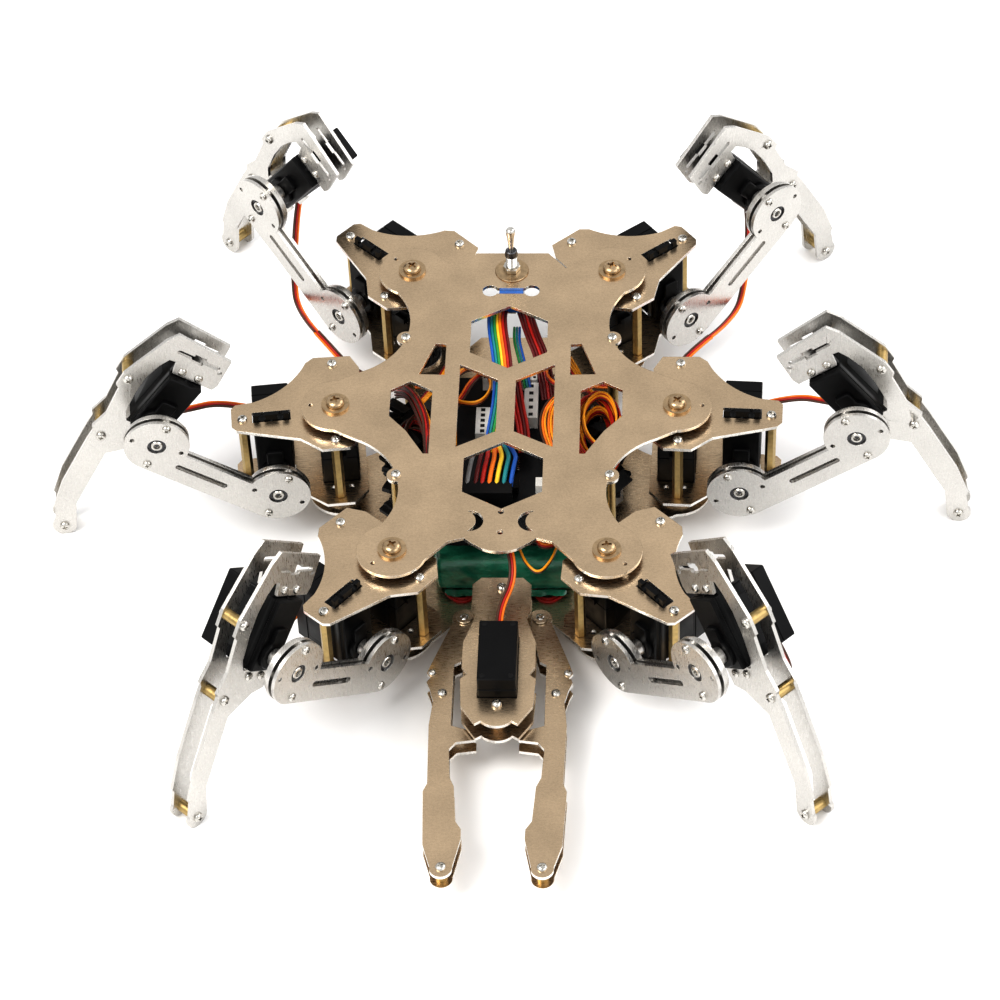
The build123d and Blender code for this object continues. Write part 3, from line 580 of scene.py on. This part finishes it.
def servo_shapes():
    """The shapes of a servo in its own frame: slot 0 is the case, 1 steel, 2 dark."""
    case = stack(-10.15, 30.35, -10.05, 10.05, 1.0,
                 [(-28, 0.7), (-27.5, 0.1), (-20.4, 0), (-20.2, 0.45), (-19.7, 0.45), (-19.5, 0), (-0.2, 0),
                  (0, 0.15), (2.5, 0.15), (2.7, 0), (4.6, 0), (4.8, 0.45), (5.3, 0.45), (5.5, 0), (7.4, 0.1),
                  (8.0, 0.8)])
    deck = stack(3.0, 15.0, -4.5, 4.5, 1.5, [(7.9, 0), (9.6, 0), (10.0, 0.4)])
    shapes = [(case, None, 0), (slab(flange_outline(), 0, 2.5), None, 0), (deck, None, 0),
              (turned([(8.0, 7.9), (8.0, 9.5), (7.5, 10.0), (4.5, 10.0), (4.2, 9.7)]), None, 0),
              (turned([(2.9, 9.5), (2.9, 14.5), (2.6, 14.85)], 24), None, 1),
              (block(-12.4, -10.1, -3.5, 3.5, -24, -20.2), None, 0)]
    for x in (-13.6, 33.8):
        gusset = [(0, 0), (3.0, 0), (0, 3.2)] if x > 0 else [(0, 0), (0, 3.2), (-3.0, 0)]
        edge = 30.2 if x > 0 else -10.0
        shapes.append((slab(gusset, -0.6, 0.6), at(edge, 0, 2.4, (1, 0, 0), (0, -1, 0)), 0))
    for x in (-7.4, 27.6):
        for y in (-7.4, 7.4):
            shapes.append((turned([(1.5, 0), (1.5, 0.3), (1.1, 0.45), (0, 0.5)], 16),
                           at(x, y, -27.9, (1, 0, 0), (0, 0, -1)), 2))
    return shapes


SERVO = servo_shapes()


def servo(name, body, node, place):
    """One servo in place of its CAD node, with a plain recessed panel on both broad sides."""
    pile = Pile(place)
    for shape, where, slot in SERVO:
        pile.add(shape, where, slot)
    for side in (-1, 1):
        panel = stack(-8.0, 8.0, -14.0, 14.0, 1.0, [(0, 0), (0.28, 0), (0.35, 0.15)])
        pile.add(panel, at(10.1, side * 10.0, -10.2, (0, 0, 1), (0, side, 0)), 2)
    piece = pile.make(name, [SERVO_BLACK, NICKEL, CHIP_BLACK], body, 0.12, "servo")
    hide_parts(node)


# ---- legs -----------------------------------------------------------------------------

def standoff(pile, place, length, slot=0):
    """A hexagonal standoff with turned ends."""
    pile.add(turned([(2.35, 0), (2.9, 0.5), (2.9, length - 0.5), (2.35, length)], 6), place, slot)


def coxa(name, place, rng):
    """Standoffs, pivot and screws of one coxa, and its two servos."""
    body = name + "_coxa"
    hardware = Pile(place)
    for x, y in COXA_POSTS:
        standoff(hardware, at(x, y, COXA_FLOOR), COXA_TOP - 2 - COXA_FLOOR)
        screw(hardware, at(x, y, COXA_TOP), 1.0, 1.0, rng.uniform(0, 3), 1)
        screw(hardware, at(x, y, COXA_FLOOR - 2, (1, 0, 0), (0, 0, -1)), 1.0, 0.8, rng.uniform(0, 3), 1)
    hardware.add(ring(3.0, 6.0, COXA_TOP + 0.05, TOP_Z - 2.3), None, 2)
    hardware.add(turned([(2.9, COXA_TOP - 5), (2.9, TOP_Z + 1.7)]), None, 1)
    hardware.add(turned([(5.0, COXA_TOP - 5), (5.0, COXA_TOP - 2.1)], 6), None, 1)
    screw(hardware, at(0, 0, TOP_Z + 1.6), 1.78, 0.78, rng.uniform(0, 3), 2)
    piece = hardware.make(name + "_coxa_fittings", [BRASS, NICKEL, BRONZE], body, 0.1, "brass")
    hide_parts(name + "_coxa_hardware")
    dress(name + "_coxa_plates", PLATE_METAL)
    servos = name + "_coxa_servos"
    servo(name + "_swing_servo", body, servos, place @ at(0, 0, COXA_FLOOR - 2, (0, -1, 0), (0, 0, -1)))
    servo(name + "_lift_servo", body, servos, place @ at(HIP_X, -1, HIP_Z, (0, 0, 1), (0, 1, 0)))


HORN_Y, FEMUR_OUTER_Y, FEMUR_INNER_Y = 24.0, 27.0, 19.0


def horn_hub(pile, where):
    """The recessed horn screw in a femur's round opening, with a dark hex disc painted in as the shade of its
    hex socket.
    """
    pile.add(ring(3.5, 4.9, 0, 2.0), where, 1)
    pile.add(turned([(3.3, 0), (3.3, 2.3), (2.9, 2.8), (1.9, 2.9), (1.6, 1.6), (0, 1.6)], 24), where, 0)
    # Dark hex disc at the bottom of the recess: painted shade standing for the hex socket.
    pile.add(turned([(1.35, 1.55), (1.35, 1.75), (0, 1.8)], 6), where, 1)


def femur(name, place, rng):
    """Screws and hubs of one femur."""
    body = name + "_femur"
    screws = Pile(place)
    for along in (0.0, FEMUR_LENGTH):
        horn_hub(screws, on_femur(along, 0, HORN_Y))
        for angle in (80, 260):
            a = math.radians(angle)
            spot = (along + 13.9 * math.cos(a), 13.9 * math.sin(a))
            screw(screws, on_femur(*spot, FEMUR_OUTER_Y), 0.86, 0.9, rng.uniform(0, 3))
            screw(screws, on_femur(*spot, FEMUR_INNER_Y, -1), 0.7, 0.6, rng.uniform(0, 3))
    screws.make(name + "_femur_screws", [NICKEL, DARK_STEEL_AND_HEX_SHADE], body, 0.08, "leg_plate")
    dress(name + "_femur", LEG_METAL)


# Faces of the two tibia plates, and a reach across the leg that passes through both of them.
TIBIA_OUTER_Y, TIBIA_INNER_Y = 3.5, -10.5
TIBIA_SPACER_Y, TIBIA_SPACER_LENGTH = -8.5, 10.0
WINDOW_REACH = (TIBIA_INNER_Y - 1.5, TIBIA_OUTER_Y + 1.5)
TIBIA_WINDOW = ((-10.8, 9.0), (31.0, 9.0), (39.5, 11.5), (39.0, 15.5), (32.5, 17.8), (22.5, 19.3),
                (10.0, 18.4), (-5.0, 15.3), (-10.8, 11.5))
CORNER_GAP = 2e-6


def tidy_shell(mesh):
    """Joins split corners and turns every face outward."""
    shell = bmesh.new()
    shell.from_mesh(mesh)
    bmesh.ops.remove_doubles(shell, verts=shell.verts, dist=CORNER_GAP)
    bmesh.ops.recalc_face_normals(shell, faces=shell.faces)
    shell.to_mesh(mesh)
    shell.free()


def open_plates(name, place):
    """The tibia's two plates with the wide window between the knee servo and the outer strip."""
    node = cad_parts[name + "_tibia"]
    piece = placed_object(name + "_tibia_plates", node.data.copy())
    piece.matrix_world = node.matrix_world.copy()
    tidy_shell(piece.data)
    points, faces = slab(TIBIA_WINDOW, *WINDOW_REACH)
    where = place @ on_tibia(0, 0, 0)
    mesh = bpy.data.meshes.new("window")
    mesh.from_pydata([LAYOUT @ (where @ Vector(p)) for p in points], [], faces)
    tidy_shell(mesh)
    piece.data = cut_away(piece, placed_object("window", mesh))
    piece.data.materials.clear()
    piece.data.materials.append(LEG_METAL)
    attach(piece, name + "_tibia")
    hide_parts(name + "_tibia")


def tibia(name, place, rng):
    """Screws, brass spacers and servo of one tibia."""
    body = name + "_tibia"
    screws = Pile(place)
    for s, t in ((15.9, 26.8), (-27.9, 17.0), (-98.0, -2.5)):
        screws.add(ring(2.75, 3.1, 0, TIBIA_SPACER_LENGTH, 24), on_tibia(s, t, TIBIA_SPACER_Y), 1)
        screw(screws, on_tibia(s, t, TIBIA_OUTER_Y), 1.0, 0.9, rng.uniform(0, 3))
        screw(screws, on_tibia(s, t, TIBIA_INNER_Y, -1), 1.0, 0.9, rng.uniform(0, 3))
    for s in (34.85, -14.65):
        for t in (-5.0, 5.0):
            screw(screws, on_tibia(s, t, TIBIA_OUTER_Y), 0.86, 0.8, rng.uniform(0, 3))
    screws.make(name + "_tibia_screws", [NICKEL, BRASS], body, 0.08, "leg_plate")
    open_plates(name, place)
    c, s = math.cos(TIBIA_ANGLE), math.sin(TIBIA_ANGLE)
    shaft = place @ at(KNEE_X, -1, KNEE_Z, (c, 0, s), (0, 1, 0))
    servo(name + "_knee_servo_case", body, name + "_knee_servo", shaft)


LEAD_START = (KNEE_X + 7.95, -23.0, KNEE_Z - 10.3)
KNEE_LEADS = {
    "front": (LEAD_START, (KNEE_X + 16.4, -24.0, KNEE_Z - 21.1), (KNEE_X + 8.0, -30.0, 45.5),
              (80.0, -34.0, 34.0), (56.0, -35.5, 32.5), (34.0, -33.5, 39.0)),
    "mid": (LEAD_START, (KNEE_X + 16.4, -25.5, KNEE_Z - 21.1), (KNEE_X + 10.0, -31.0, 50.0),
            (84.0, -36.0, 48.0), (60.0, -37.0, 52.0), (34.0, -34.0, 41.0)),
    "rear": (LEAD_START, (112.0, -22.0, 65.0), (106.0, -10.0, 49.0), (94.0, 4.0, 41.0), (80.0, 19.0, 36.0),
             (62.0, 34.0, 31.5), (35.0, 44.0, 39.4)),
}
BODY_LEAD = ((35.0, 44.0, 39.4), (21.5, 49.0, 43.35), (6.0, 48.0, 34.0), (-10.0, 43.0, 29.5),
             (-26.0, 36.0, 31.0), (-44.0, 28.0, 38.0))
GRIPPER_LEAD = ((0.0, -131.0, 50.0), (0.0, -121.0, 50.5), (7.0, -106.0, 56.0), (5.0, -92.0, 66.0),
                (-4.0, -76.0, 69.0), (-10.0, -58.0, 62.0))
CORE_RADIUS, CORE_PITCH = 0.00068, 0.00132
THREAD_PITCH = 0.75


def servo_lead(name, node, place, points, across=None):
    """A three-core lead between two bodies that one joint connects."""
    controls = [LAYOUT @ (place @ Vector(p)) for p in points]
    across = across or place.to_3x3() @ Vector((0, 1, 0))
    piece, path = lead_mesh(name, controls, SERVO_LEAD, CORE_RADIUS, CORE_PITCH, across)
    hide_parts(node)
    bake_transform(piece)


# The way each row's flat knee lead is laid; the front legs' lie along the leg's own Y.
LEAD_ACROSS = {"front": None, "mid": (0, 0.73, 0.68), "rear": (1, 0, 0)}
for leg_name, leg_x, leg_y, leg_yaw, leg_side in LEGS:
    leg_random = random.Random(leg_name)
    where = leg_place(leg_x, leg_y, leg_yaw, leg_side)
    coxa(leg_name, where, leg_random)
    femur(leg_name, where, leg_random)
    tibia(leg_name, where, leg_random)
    row = leg_name.split("_")[0]
    servo_lead(leg_name + "_lead", leg_name + "_knee_lead", where, KNEE_LEADS[row],
               LEAD_ACROSS[row])
    if row == "rear":
        servo_lead(leg_name + "_inner_lead", leg_name + "_body_lead", where, BODY_LEAD)


# ---- body -----------------------------------------------------------------------------

def body_screws():
    """Screws of the long standoffs, above and below."""
    rng = random.Random(7)
    pile = Pile()
    for x in (-56.4, 56.4):
        for y in (-51.5, 51.5):
            screw(pile, at(x, y, TOP_Z), 1.0, 1.0, rng.uniform(0, 3))
            screw(pile, at(x, y, BOTTOM_Z - 2, (1, 0, 0), (0, 0, -1)), 1.0, 0.8, rng.uniform(0, 3))
    for _, x, y, _, _ in LEGS:
        screw(pile, at(x, y, BOTTOM_Z - 2, (1, 0, 0), (0, 0, -1)), 1.1, 0.8, rng.uniform(0, 3))
        for k in range(4):
            a = math.radians(45 + 90 * k)
            spot = at(x + 6.0 * math.cos(a), y + 6.0 * math.sin(a), BOTTOM_Z - 2, (1, 0, 0), (0, 0, -1))
            screw(pile, spot, 0.6, 0.8, rng.uniform(0, 3))
    pile.make("body_screws", [NICKEL], "body", 0.08, "body_plate")


def toggle_switch():
    """Blue switch body, threaded bush, lock washer, nut and bat lever."""
    pile = Pile()
    pile.add(stack(-6.6, 6.6, 85.5, 107.5, 0.8, [(64, 0.4), (64.4, 0), (72.5, 0), (72.7, 0.3), (73.2, 0.3),
                                                 (73.4, 0), (75.9, 0)]), None, 0)
    for y in (89.0, 96.5, 104.0):
        pile.add(block(-2.2, 2.2, y - 0.4, y + 0.4, 60.5, 64.1), None, 2)
    pile.make("switch_body", [SWITCH_BLUE, NICKEL, BRASS], "body", 0.15, "switch_metal")
    metal = Pile(at(0, EAR_Y, 0))
    metal.add(turned([(9.0, TOP_Z), (9.4, TOP_Z + 0.35), (9.1, TOP_Z + 0.75), (6.2, TOP_Z + 1.05),
                      (3.0, TOP_Z + 1.05)], 48), None, 1)
    nut = [(4.4, TOP_Z + 1.0), (4.8, TOP_Z + 1.35), (4.8, TOP_Z + 3.7), (4.4, TOP_Z + 4.1)]
    metal.add(turned(nut, 6), None, 0)
    metal.add(ring(3.0, 4.3, TOP_Z + 4.0, TOP_Z + 4.5, 32), None, 0)
    thread = [(3.2, TOP_Z - 2)]
    for k in range(18):
        low = TOP_Z - 1.8 + k * THREAD_PITCH
        thread += [(3.2, low), (2.9, low + 0.3), (2.9, low + 0.4), (3.2, low + 0.7)]
    thread += [(3.2, TOP_Z + 12.0), (2.6, TOP_Z + 12.2)]
    metal.add(turned(thread), None, 0)
    metal.add(turned([(3.6, TOP_Z + 12.0), (3.7, TOP_Z + 12.6), (3.2, TOP_Z + 15.4), (2.6, TOP_Z + 16.0),
                      (2.0, TOP_Z + 15.6)]), None, 2)
    piece = metal.make("switch_bush", [NICKEL, BRONZE, DARK_STEEL_AND_HEX_SHADE], "body", 0.06, "switch_metal", 25)
    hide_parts("toggle_switch")
    lever = Pile(at(0, EAR_Y, 0))
    lever.add(turned([(1.0, TOP_Z + 10.3), (1.1, TOP_Z + 15.0), (1.5, TOP_Z + 19.0), (2.1, TOP_Z + 25.5),
                      (2.7, TOP_Z + 29.6), (2.55, TOP_Z + 30.8), (1.8, TOP_Z + 31.6), (0.8, TOP_Z + 31.9),
                      (0, TOP_Z + 31.95)]), None, 0)
    bat = lever.make("switch_bat", [NICKEL], "switch_lever", 0, "switch_metal", 60)
    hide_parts("switch_lever")


def header(pile, x0, x1, y0, y1, z, columns, rows, socket=0.75):
    """A white header with a thin dark square painted on its top as the shade in every contact's opening."""
    pile.add(block(x0, x1, y0, y1, z, z + 8.4), None, 1)
    for i in range(columns):
        for j in range(rows):
            x = x0 + (x1 - x0) * (i + 0.5) / columns
            y = y0 + (y1 - y0) * (j + 0.5) / rows
            # Thin dark square on the header's top: painted shade for the contact's opening.
            pile.add(block(x - socket, x + socket, y - socket, y + socket, z + 8.35, z + 8.48), None, 2)


def controller_board():
    """Board on standoffs with headers, chips, a crystal, capacitors and a screw terminal."""
    level = BOTTOM_Z + 33.0
    deck = level + 1.6
    pile = Pile()
    pile.add(slab(rounded_outline(-35, 35, -72, 52, 2.5), level, deck), None, 0)
    for x in (-31, 31):
        for y in (-30, 36):
            standoff(pile, at(x, y, BOTTOM_Z), 33.0, 3)
            screw(pile, at(x, y, deck), 0.95, 0.9, 0.3 + x, 4)
    header(pile, -17.5, -9.9, 1.0, 21.0, deck, 1, 5, 1.15)
    header(pile, 8.4, 16.0, 13.0, 40.0, deck, 1, 5, 1.15)
    header(pile, -15, 15, 42.2, 49.8, deck, 10, 2)
    pile.add(block(-22, 4, -47, -38.5, deck, deck + 12.5), None, 5)
    pile.add(block(16.4, 21.4, -40.0, -33.5, deck, deck + 10.5), None, 1)
    for y in (10.0, -14.0):
        pile.add(block(-6, 6, y - 6, y + 6, deck, deck + 1.8), None, 5)
        for k in range(8):
            for side in (-1, 1):
                step = y - 4.6 + 1.3 * k
                pile.add(block(side * 6 - 0.9, side * 6 + 0.9, step, step + 0.5, deck, deck + 0.7), None, 4)
    for x, y, radius in ((-26, -44, 4.0), (-26, -55, 4.0), (26, -60, 3.2), (26, 44, 3.0)):
        can = [(radius, deck), (radius, deck + 8.4), (radius - 0.5, deck + 9.0)]
        pile.add(turned(can, 24), at(x, y, 0), 5)
        pile.add(turned([(radius - 0.8, deck + 9.0), (0, deck + 9.15)], 24), at(x, y, 0), 4)
    pile.add(block(-12, -3, -62, -54, deck, deck + 6.5), None, 5)
    pile.add(block(-5, 7, -36, -29, deck, deck + 5.0), None, 5)
    for x in (-7, 0, 7):
        pile.add(block(x - 1.0, x + 1.6, 24.0, 24.8, deck, deck + 0.9), None, 4)
    materials = [BOARD_BLACK, HEADER_WHITE, HOLE_SHADE_BLACK, BRASS, NICKEL, CHIP_BLACK]
    piece = pile.make("control_board", materials, "body", 0.12, "board")
    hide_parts("controller_board")


def battery():
    """Cells under green shrink film: rounded, creased and pinched at its two ends."""
    rng = random.Random(3)
    waves = [(rng.uniform(0.15, 0.55), rng.uniform(0.2, 0.9), rng.uniform(-0.5, 0.5), rng.uniform(0, 6.3))
             for _ in range(9)]
    points, faces, rings = [], [], []
    steps, around = 70, 96
    for k in range(steps + 1):
        x = -37.6 + 75.2 * k / steps
        pinch = max(0.0, (abs(x) - 34.4) / 3.2)
        squeeze = 1 - 0.34 * pinch ** 2
        rings.append(range(len(points), len(points) + around))
        for i in range(around):
            a = 2 * math.pi * i / around
            shape = (abs(math.cos(a)) ** 5 + abs(math.sin(a)) ** 5) ** -0.2
            y, z = 21.4 * shape * math.cos(a), 13.3 * shape * math.sin(a)
            cell = 0.35 * abs(math.sin(math.pi * (y + 22) / 14.6))
            crease = sum(h * math.sin(f * x + 3 * g * y + 0.5 * z + p) for h, f, g, p in waves) / 9
            scale = squeeze * (1 - 0.014 + 0.03 * crease - 0.012 * (1 - cell))
            points.append((x, -57.0 + y * scale, BOTTOM_Z + 14.0 + z * scale))
    for low, high in zip(rings, rings[1:]):
        for i in range(around):
            j = (i + 1) % around
            faces.append((low[i], low[j], high[j], high[i]))
    faces.append(tuple(reversed(rings[0])))
    faces.append(tuple(rings[-1]))
    pile = Pile()
    pile.add((points, [tuple(reversed(f)) for f in faces]))
    piece = pile.make("battery_film", [FILM], "body", 0, "battery", 60)
    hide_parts("battery_pack")
    welt, count = Pile(), 40
    outline_points, outline_faces = [], []
    for k in range(count + 1):
        x = -32.0 + 65.0 * k / count
        wave = 0.45 * math.sin(0.31 * x) + 0.3 * math.sin(0.83 * x + 1)
        reach = 3.4 if 0 < k < count else 1.2
        y, z = -77.2, 15.4 + 0.4 * wave
        section = ((y, z - 0.8), (y - reach, z - 1.0 + wave), (y - reach - 0.3, z - 0.5 + wave), (y, z + 0.5))
        outline_points += [(x, py, pz) for py, pz in section]
        if k:
            base = 4 * k
            for i in range(4):
                j = (i + 1) % 4
                outline_faces.append((base - 4 + i, base - 4 + j, base + j, base + i))
    outline_faces += [(3, 2, 1, 0), tuple(4 * count + i for i in range(4))]
    welt.add((outline_points, outline_faces))
    welt.make("battery_seam", [FILM], "body", 0, "battery", 50)


def wire_run(name, controls, colours, flat_dir=(1, 0, 0), radius=CORE_RADIUS, pitch=CORE_PITCH):
    """A fixed wire or ribbon inside the body, along points in millimetres."""
    places = [LAYOUT @ Vector(p) for p in controls]
    piece, _ = lead_mesh(name, places, [WIRES[c] for c in colours], radius, pitch, flat_dir)
    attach(piece, "body")


def plugs(name, x0, x1, y0, y1, z0, z1, count, seed):
    """Black three-pin plugs lying in a heap."""
    rng = random.Random(seed)
    pile = Pile()
    for _ in range(count):
        place = at(rng.uniform(x0, x1), rng.uniform(y0, y1), rng.uniform(z0, z1))
        turn = Matrix.Rotation(rng.uniform(0, 3.1), 4, "Z")
        place = place @ turn @ Matrix.Rotation(rng.uniform(-0.5, 0.5), 4, "X")
        pile.add(block(-7.0, 7.0, -4.0, 4.0, -1.4, 1.4), place)
    pile.make(name, [CHIP_BLACK], "body", 0.25, "board")


def coil(name, centre, reach, turns, colours, seed, wobble=0.12, flat_dir=(0, 0, 1)):
    """A servo lead wound in loose oval turns round a centre, its turns spread in height."""
    rng = random.Random(seed)
    controls = []
    steps = 8
    for k in range(steps * turns + 1):
        a = 2 * math.pi * k / steps
        share = k / (steps * turns)
        controls.append((centre[0] + reach[0] * math.cos(a) * rng.uniform(1 - wobble, 1 + wobble),
                         centre[1] + reach[1] * math.sin(a) * rng.uniform(1 - wobble, 1 + wobble),
                         centre[2] + reach[2] * (2 * share - 1)))
    wire_run(name, controls, colours, flat_dir)


def wiring():
    """Ribbon from the switch end to the board, and the coiled servo leads in the windows."""
    wire_run("ribbon_rear", ((-5, 97, 58), (-8, 86, 66), (-7.5, 70, 68), (-4.5, 50, 68), (-2.5, 30, 68),
                             (-3, 12, 67), (-5, -6, 66), (-7, -20, 62)),
             ("blue", "teal", "green", "yellow", "orange", "red", "maroon"), (1, 0, 0), 0.00080, 0.00158)
    wire_run("power_bundle", ((6, 94, 60), (8, 84, 64), (12, 68, 64), (17, 54, 63), (20, 40, 60),
                              (22, 30, 52)),
             ("maroon", "maroon", "red", "maroon", "maroon"), (1, 0, 0), 0.00090, 0.00175)
    wire_run("thin_bundle", ((3, 80, 58), (3, 68, 61), (5, 58, 61), (8, 46, 58), (10, 36, 55)),
             ("green", "teal", "blue"), (1, 0, 0), 0.00070, 0.00150)
    wire_run("red_bundle", ((2, 40, 61), (4, 28, 61), (6, 14, 60), (9, 0, 59), (10, -12, 54)),
             ("red", "red", "maroon", "red"), (1, 0, 0), 0.00090, 0.00180)
    wire_run("blue_core", ((-6, 44, 62), (-7.2, 30, 61), (-7.0, 12, 60), (-6.4, -6, 58)), ("blue",),
             (1, 0, 0), 0.00085)
    ends = (("grey", -20.0), ("maroon", -15.6), ("red", -12.0), ("orange", -8.2), ("yellow", -4.2),
            ("teal", -0.4), ("blue", 3.4))
    for k, (colour, x) in enumerate(ends):
        wire_run(f"ribbon_end_{k}", ((-8 + 0.7 * (k - 3), -8, 64), (x + 3.0, -20, 63), (x + 1.2, -30, 61.5),
                                     (x, -38, 58.5), (x - 0.3, -41, 57.5)), (colour,), (1, 0, 0), 0.00125)
    lead = ("brown", "red", "amber")
    wire_run("loop_left", ((-27.5, -10, 56), (-28.2, 8, 60), (-28.5, 24, 63), (-29, 38, 62), (-24, 46, 60),
                           (-16, 46, 60), (-10.5, 38, 61), (-9.5, 27, 62), (-14, 18, 62), (-22, 17, 61),
                           (-29, 22, 59)),
             ("brown", "orange", "amber"), (0, 0, 1))
    wire_run("loop_left_inner", ((-30, 18, 56), (-25, 26, 58), (-21, 35, 60), (-15, 44, 58), (-12, 52, 54)),
             ("orange", "red", "brown"), (1, -1, 0))
    wire_run("loop_right", ((24, 52, 58), (20, 44, 62), (21, 35, 63), (27, 30, 62), (34, 34, 58)),
             ("brown", "red", "orange"), (0, 0, 1), 0.0007, 0.0013)
    for k, inset in enumerate((0.0, 3.2, 6.0)):
        route = ((30 - 0.3 * inset, 34, 56), (26.5 + 0.3 * inset, 26, 60), (19.5 + inset, 12, 62),
                 (19.0 + inset, -2, 61), (24.0 + 0.6 * inset, -16, 58), (26 + inset, -28, 52))
        wire_run(f"strand_right_{k}", route, ("brown", "orange", "amber"), (1, 0, 0))
    for side, name in ((-1, "left"), (1, "right")):
        near, far = sorted((side * 37, side * 62))
        plugs(name + "_plugs", near, far, -32, 34, 20, 50, 60, 5 + side)
    rng = random.Random(11)
    for k in range(6):
        drift = rng.uniform(-2, 2)
        route = ((-62 + drift, 44 - 2 * k, 50), (-56 + drift, 34 - k, 58), (-50 + drift, 24 - k, 60 - k),
                 (-44 + drift, 8 - 2 * k, 60 - k), (-43 + drift, -10, 58), (-42 + drift, -24, 52))
        colours = (("brown", "red", "maroon"), ("maroon", "red", "orange"), lead)[k % 3]
        wire_run(f"wedge_left_{k}", route, colours, (1, 0.4, 0.2 * k - 0.5))
    for k in range(9):
        colours = (lead, ("brown", "orange", "red"))[k % 2]
        coil(f"coil_right_{k}", (49 + rng.uniform(-2, 2), 1 + rng.uniform(-3, 3), 47 + 2.1 * k),
             (rng.uniform(9, 13), rng.uniform(19, 27), 1.5), 2, colours, 20 + k)
    for k in range(4):
        coil(f"coil_left_{k}", (-50 + rng.uniform(-2, 2), -2 + rng.uniform(-3, 3), 44 + 2.1 * k),
             (rng.uniform(9, 12), rng.uniform(19, 26), 1.5), 2, ("maroon", "red", "brown"), 40 + k)
    for side in (-1, 1):
        name = "left" if side < 0 else "right"
        for k in range(3):
            wire_run(f"corner_{name}_{k}", ((side * (28 + 2 * k), 56, 58), (side * (33 + 1.5 * k), 44, 62),
                                            (side * (37 + k), 34, 63), (side * (43 + k), 26, 60),
                                            (side * (50 + k), 22, 54)), lead, (1, 0, 0.4))
    wire_run("prow_loop", ((33, -76, 58), (29.5, -86, 61), (26.5, -97, 61), (20, -106, 60), (13.5, -100, 61),
                           (9.5, -90, 62), (7, -78, 60), (6, -66, 56)), ("brown", "amber"), (0, 0, 1))
    wire_run("prow_loop_upper", ((36, -80, 60), (28, -88, 63), (21, -90, 64), (18, -84, 64), (14, -74, 62)),
             ("brown", "red", "orange"), (0, 0, 1))
    for side in (-1, 1):
        route = ((side * 14, -70, 12.0), (side * 18, -80.6, 12.4), (side * 23, -82.5, 12.6),
                 (side * 27, -81, 12.5), (side * 31, -76, 12.0))
        wire_run(f"battery_lead_{side + 2}", route, ("red", "red"), (0, 1, 0), 0.0009, 0.0018)


def gripper():
    """Gripper servo, its lead, and the screws of frame and fingers."""
    rng = random.Random(5)
    servo("gripper_servo_case", "body", "gripper_servo", at(0, -143.9, 28.0, (0, -1, 0), (0, 0, -1)))
    screws = Pile()
    for y in (-99.5, -179.0):
        screw(screws, at(0, y, 42.0), 1.0, 1.25, rng.uniform(0, 3))
        screw(screws, at(0, y, 28.0, (1, 0, 0), (0, 0, -1)), 1.0, 0.6, rng.uniform(0, 3))
    for x in (-5, 5):
        for y in (-178.75, -129.25):
            screw(screws, at(x, y, 30.0), 0.8, 0.8, rng.uniform(0, 3))
    screws.make("gripper_screws", [NICKEL], "body", 0.08, "body_plate")
    for side, body in ((-1, "finger_left"), (1, "finger_right")):
        pile = Pile()
        screw(pile, at(side * 35.3, -144.8, 26.5), 0.75, 0.9, rng.uniform(0, 3))
        for x, y, size in ((25.2, -271.0, 1.0), (29.5, -158.5, 0.9), (20.0, -107.0, 1.0)):
            screw(pile, at(side * x, y, 26.5), size, 0.9, rng.uniform(0, 3))
            screw(pile, at(side * x, y, 15.5, (1, 0, 0), (0, 0, -1)), size, 0.9, rng.uniform(0, 3))
            pile.add(ring(2.75, 3.1, 17.5, 24.5, 24), at(side * x, y, 0), 1)
        pile.make(body + "_screws", [NICKEL, BRASS], body, 0.08, "body_plate")
    controls = [LAYOUT @ Vector(p) for p in GRIPPER_LEAD]
    piece, path = lead_mesh("gripper_servo_lead", controls, SERVO_LEAD, CORE_RADIUS, CORE_PITCH, (1, 0, 0))
    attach(piece, "body")
    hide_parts("gripper_lead")


body_screws()
toggle_switch()
controller_board()
battery()
wiring()
gripper()
for plain in ("top_plate", "bottom_plate", "gripper_frame", "finger_left", "finger_right"):
    dress(plain, PLATE_METAL)
dress("pivot_bushes", BRONZE)
dress("body_standoffs", BRASS)
dress("swing_horns", LEG_METAL)
dress("drive_arm", LEG_METAL)


# ---- floor and light --------------------------------------------------------------------

def floor():
    """A wide pale floor."""
    mesh = bpy.data.meshes.new("floor")
    bm = bmesh.new()
    bmesh.ops.create_grid(bm, x_segments=1, y_segments=1, size=8.0)
    bm.to_mesh(mesh)
    bm.free()
    plane = bpy.data.objects.new("floor", mesh)
    bpy.context.collection.objects.link(plane)
    mesh.materials.append(new_material("floor", (0.90, 0.90, 0.90), 0.0, 0.7)[0])


def area_light(name, position, target, size, power, color=(1, 1, 1)):
    """A square soft light."""
    data = bpy.data.lights.new(name, "AREA")
    data.shape = "SQUARE"
    data.size = size
    data.energy = power
    data.color = color
    lamp = bpy.data.objects.new(name, data)
    bpy.context.collection.objects.link(lamp)
    lamp.location = position
    lamp.rotation_euler = (Vector(target) - Vector(position)).to_track_quat("-Z", "Y").to_euler()


floor()
area_light("key", (-1.1, -0.8, 1.9), (0, 0, 0), 1.2, 46, (1.0, 0.98, 0.95))
area_light("fill", (1.6, -1.0, 1.3), (0, 0, 0), 1.6, 18)
area_light("side", (1.9, 0.9, 1.5), (0, 0, 0.05), 1.4, 22)
world = bpy.data.worlds.new("world")
world.use_nodes = True
world.node_tree.nodes["Background"].inputs["Color"].default_value = (1.0, 1.0, 1.0, 1)
world.node_tree.nodes["Background"].inputs["Strength"].default_value = 1.0
bpy.context.scene.view_settings.view_transform = "Standard"
bpy.context.scene.view_settings.gamma = 0.8
bpy.context.scene.world = world
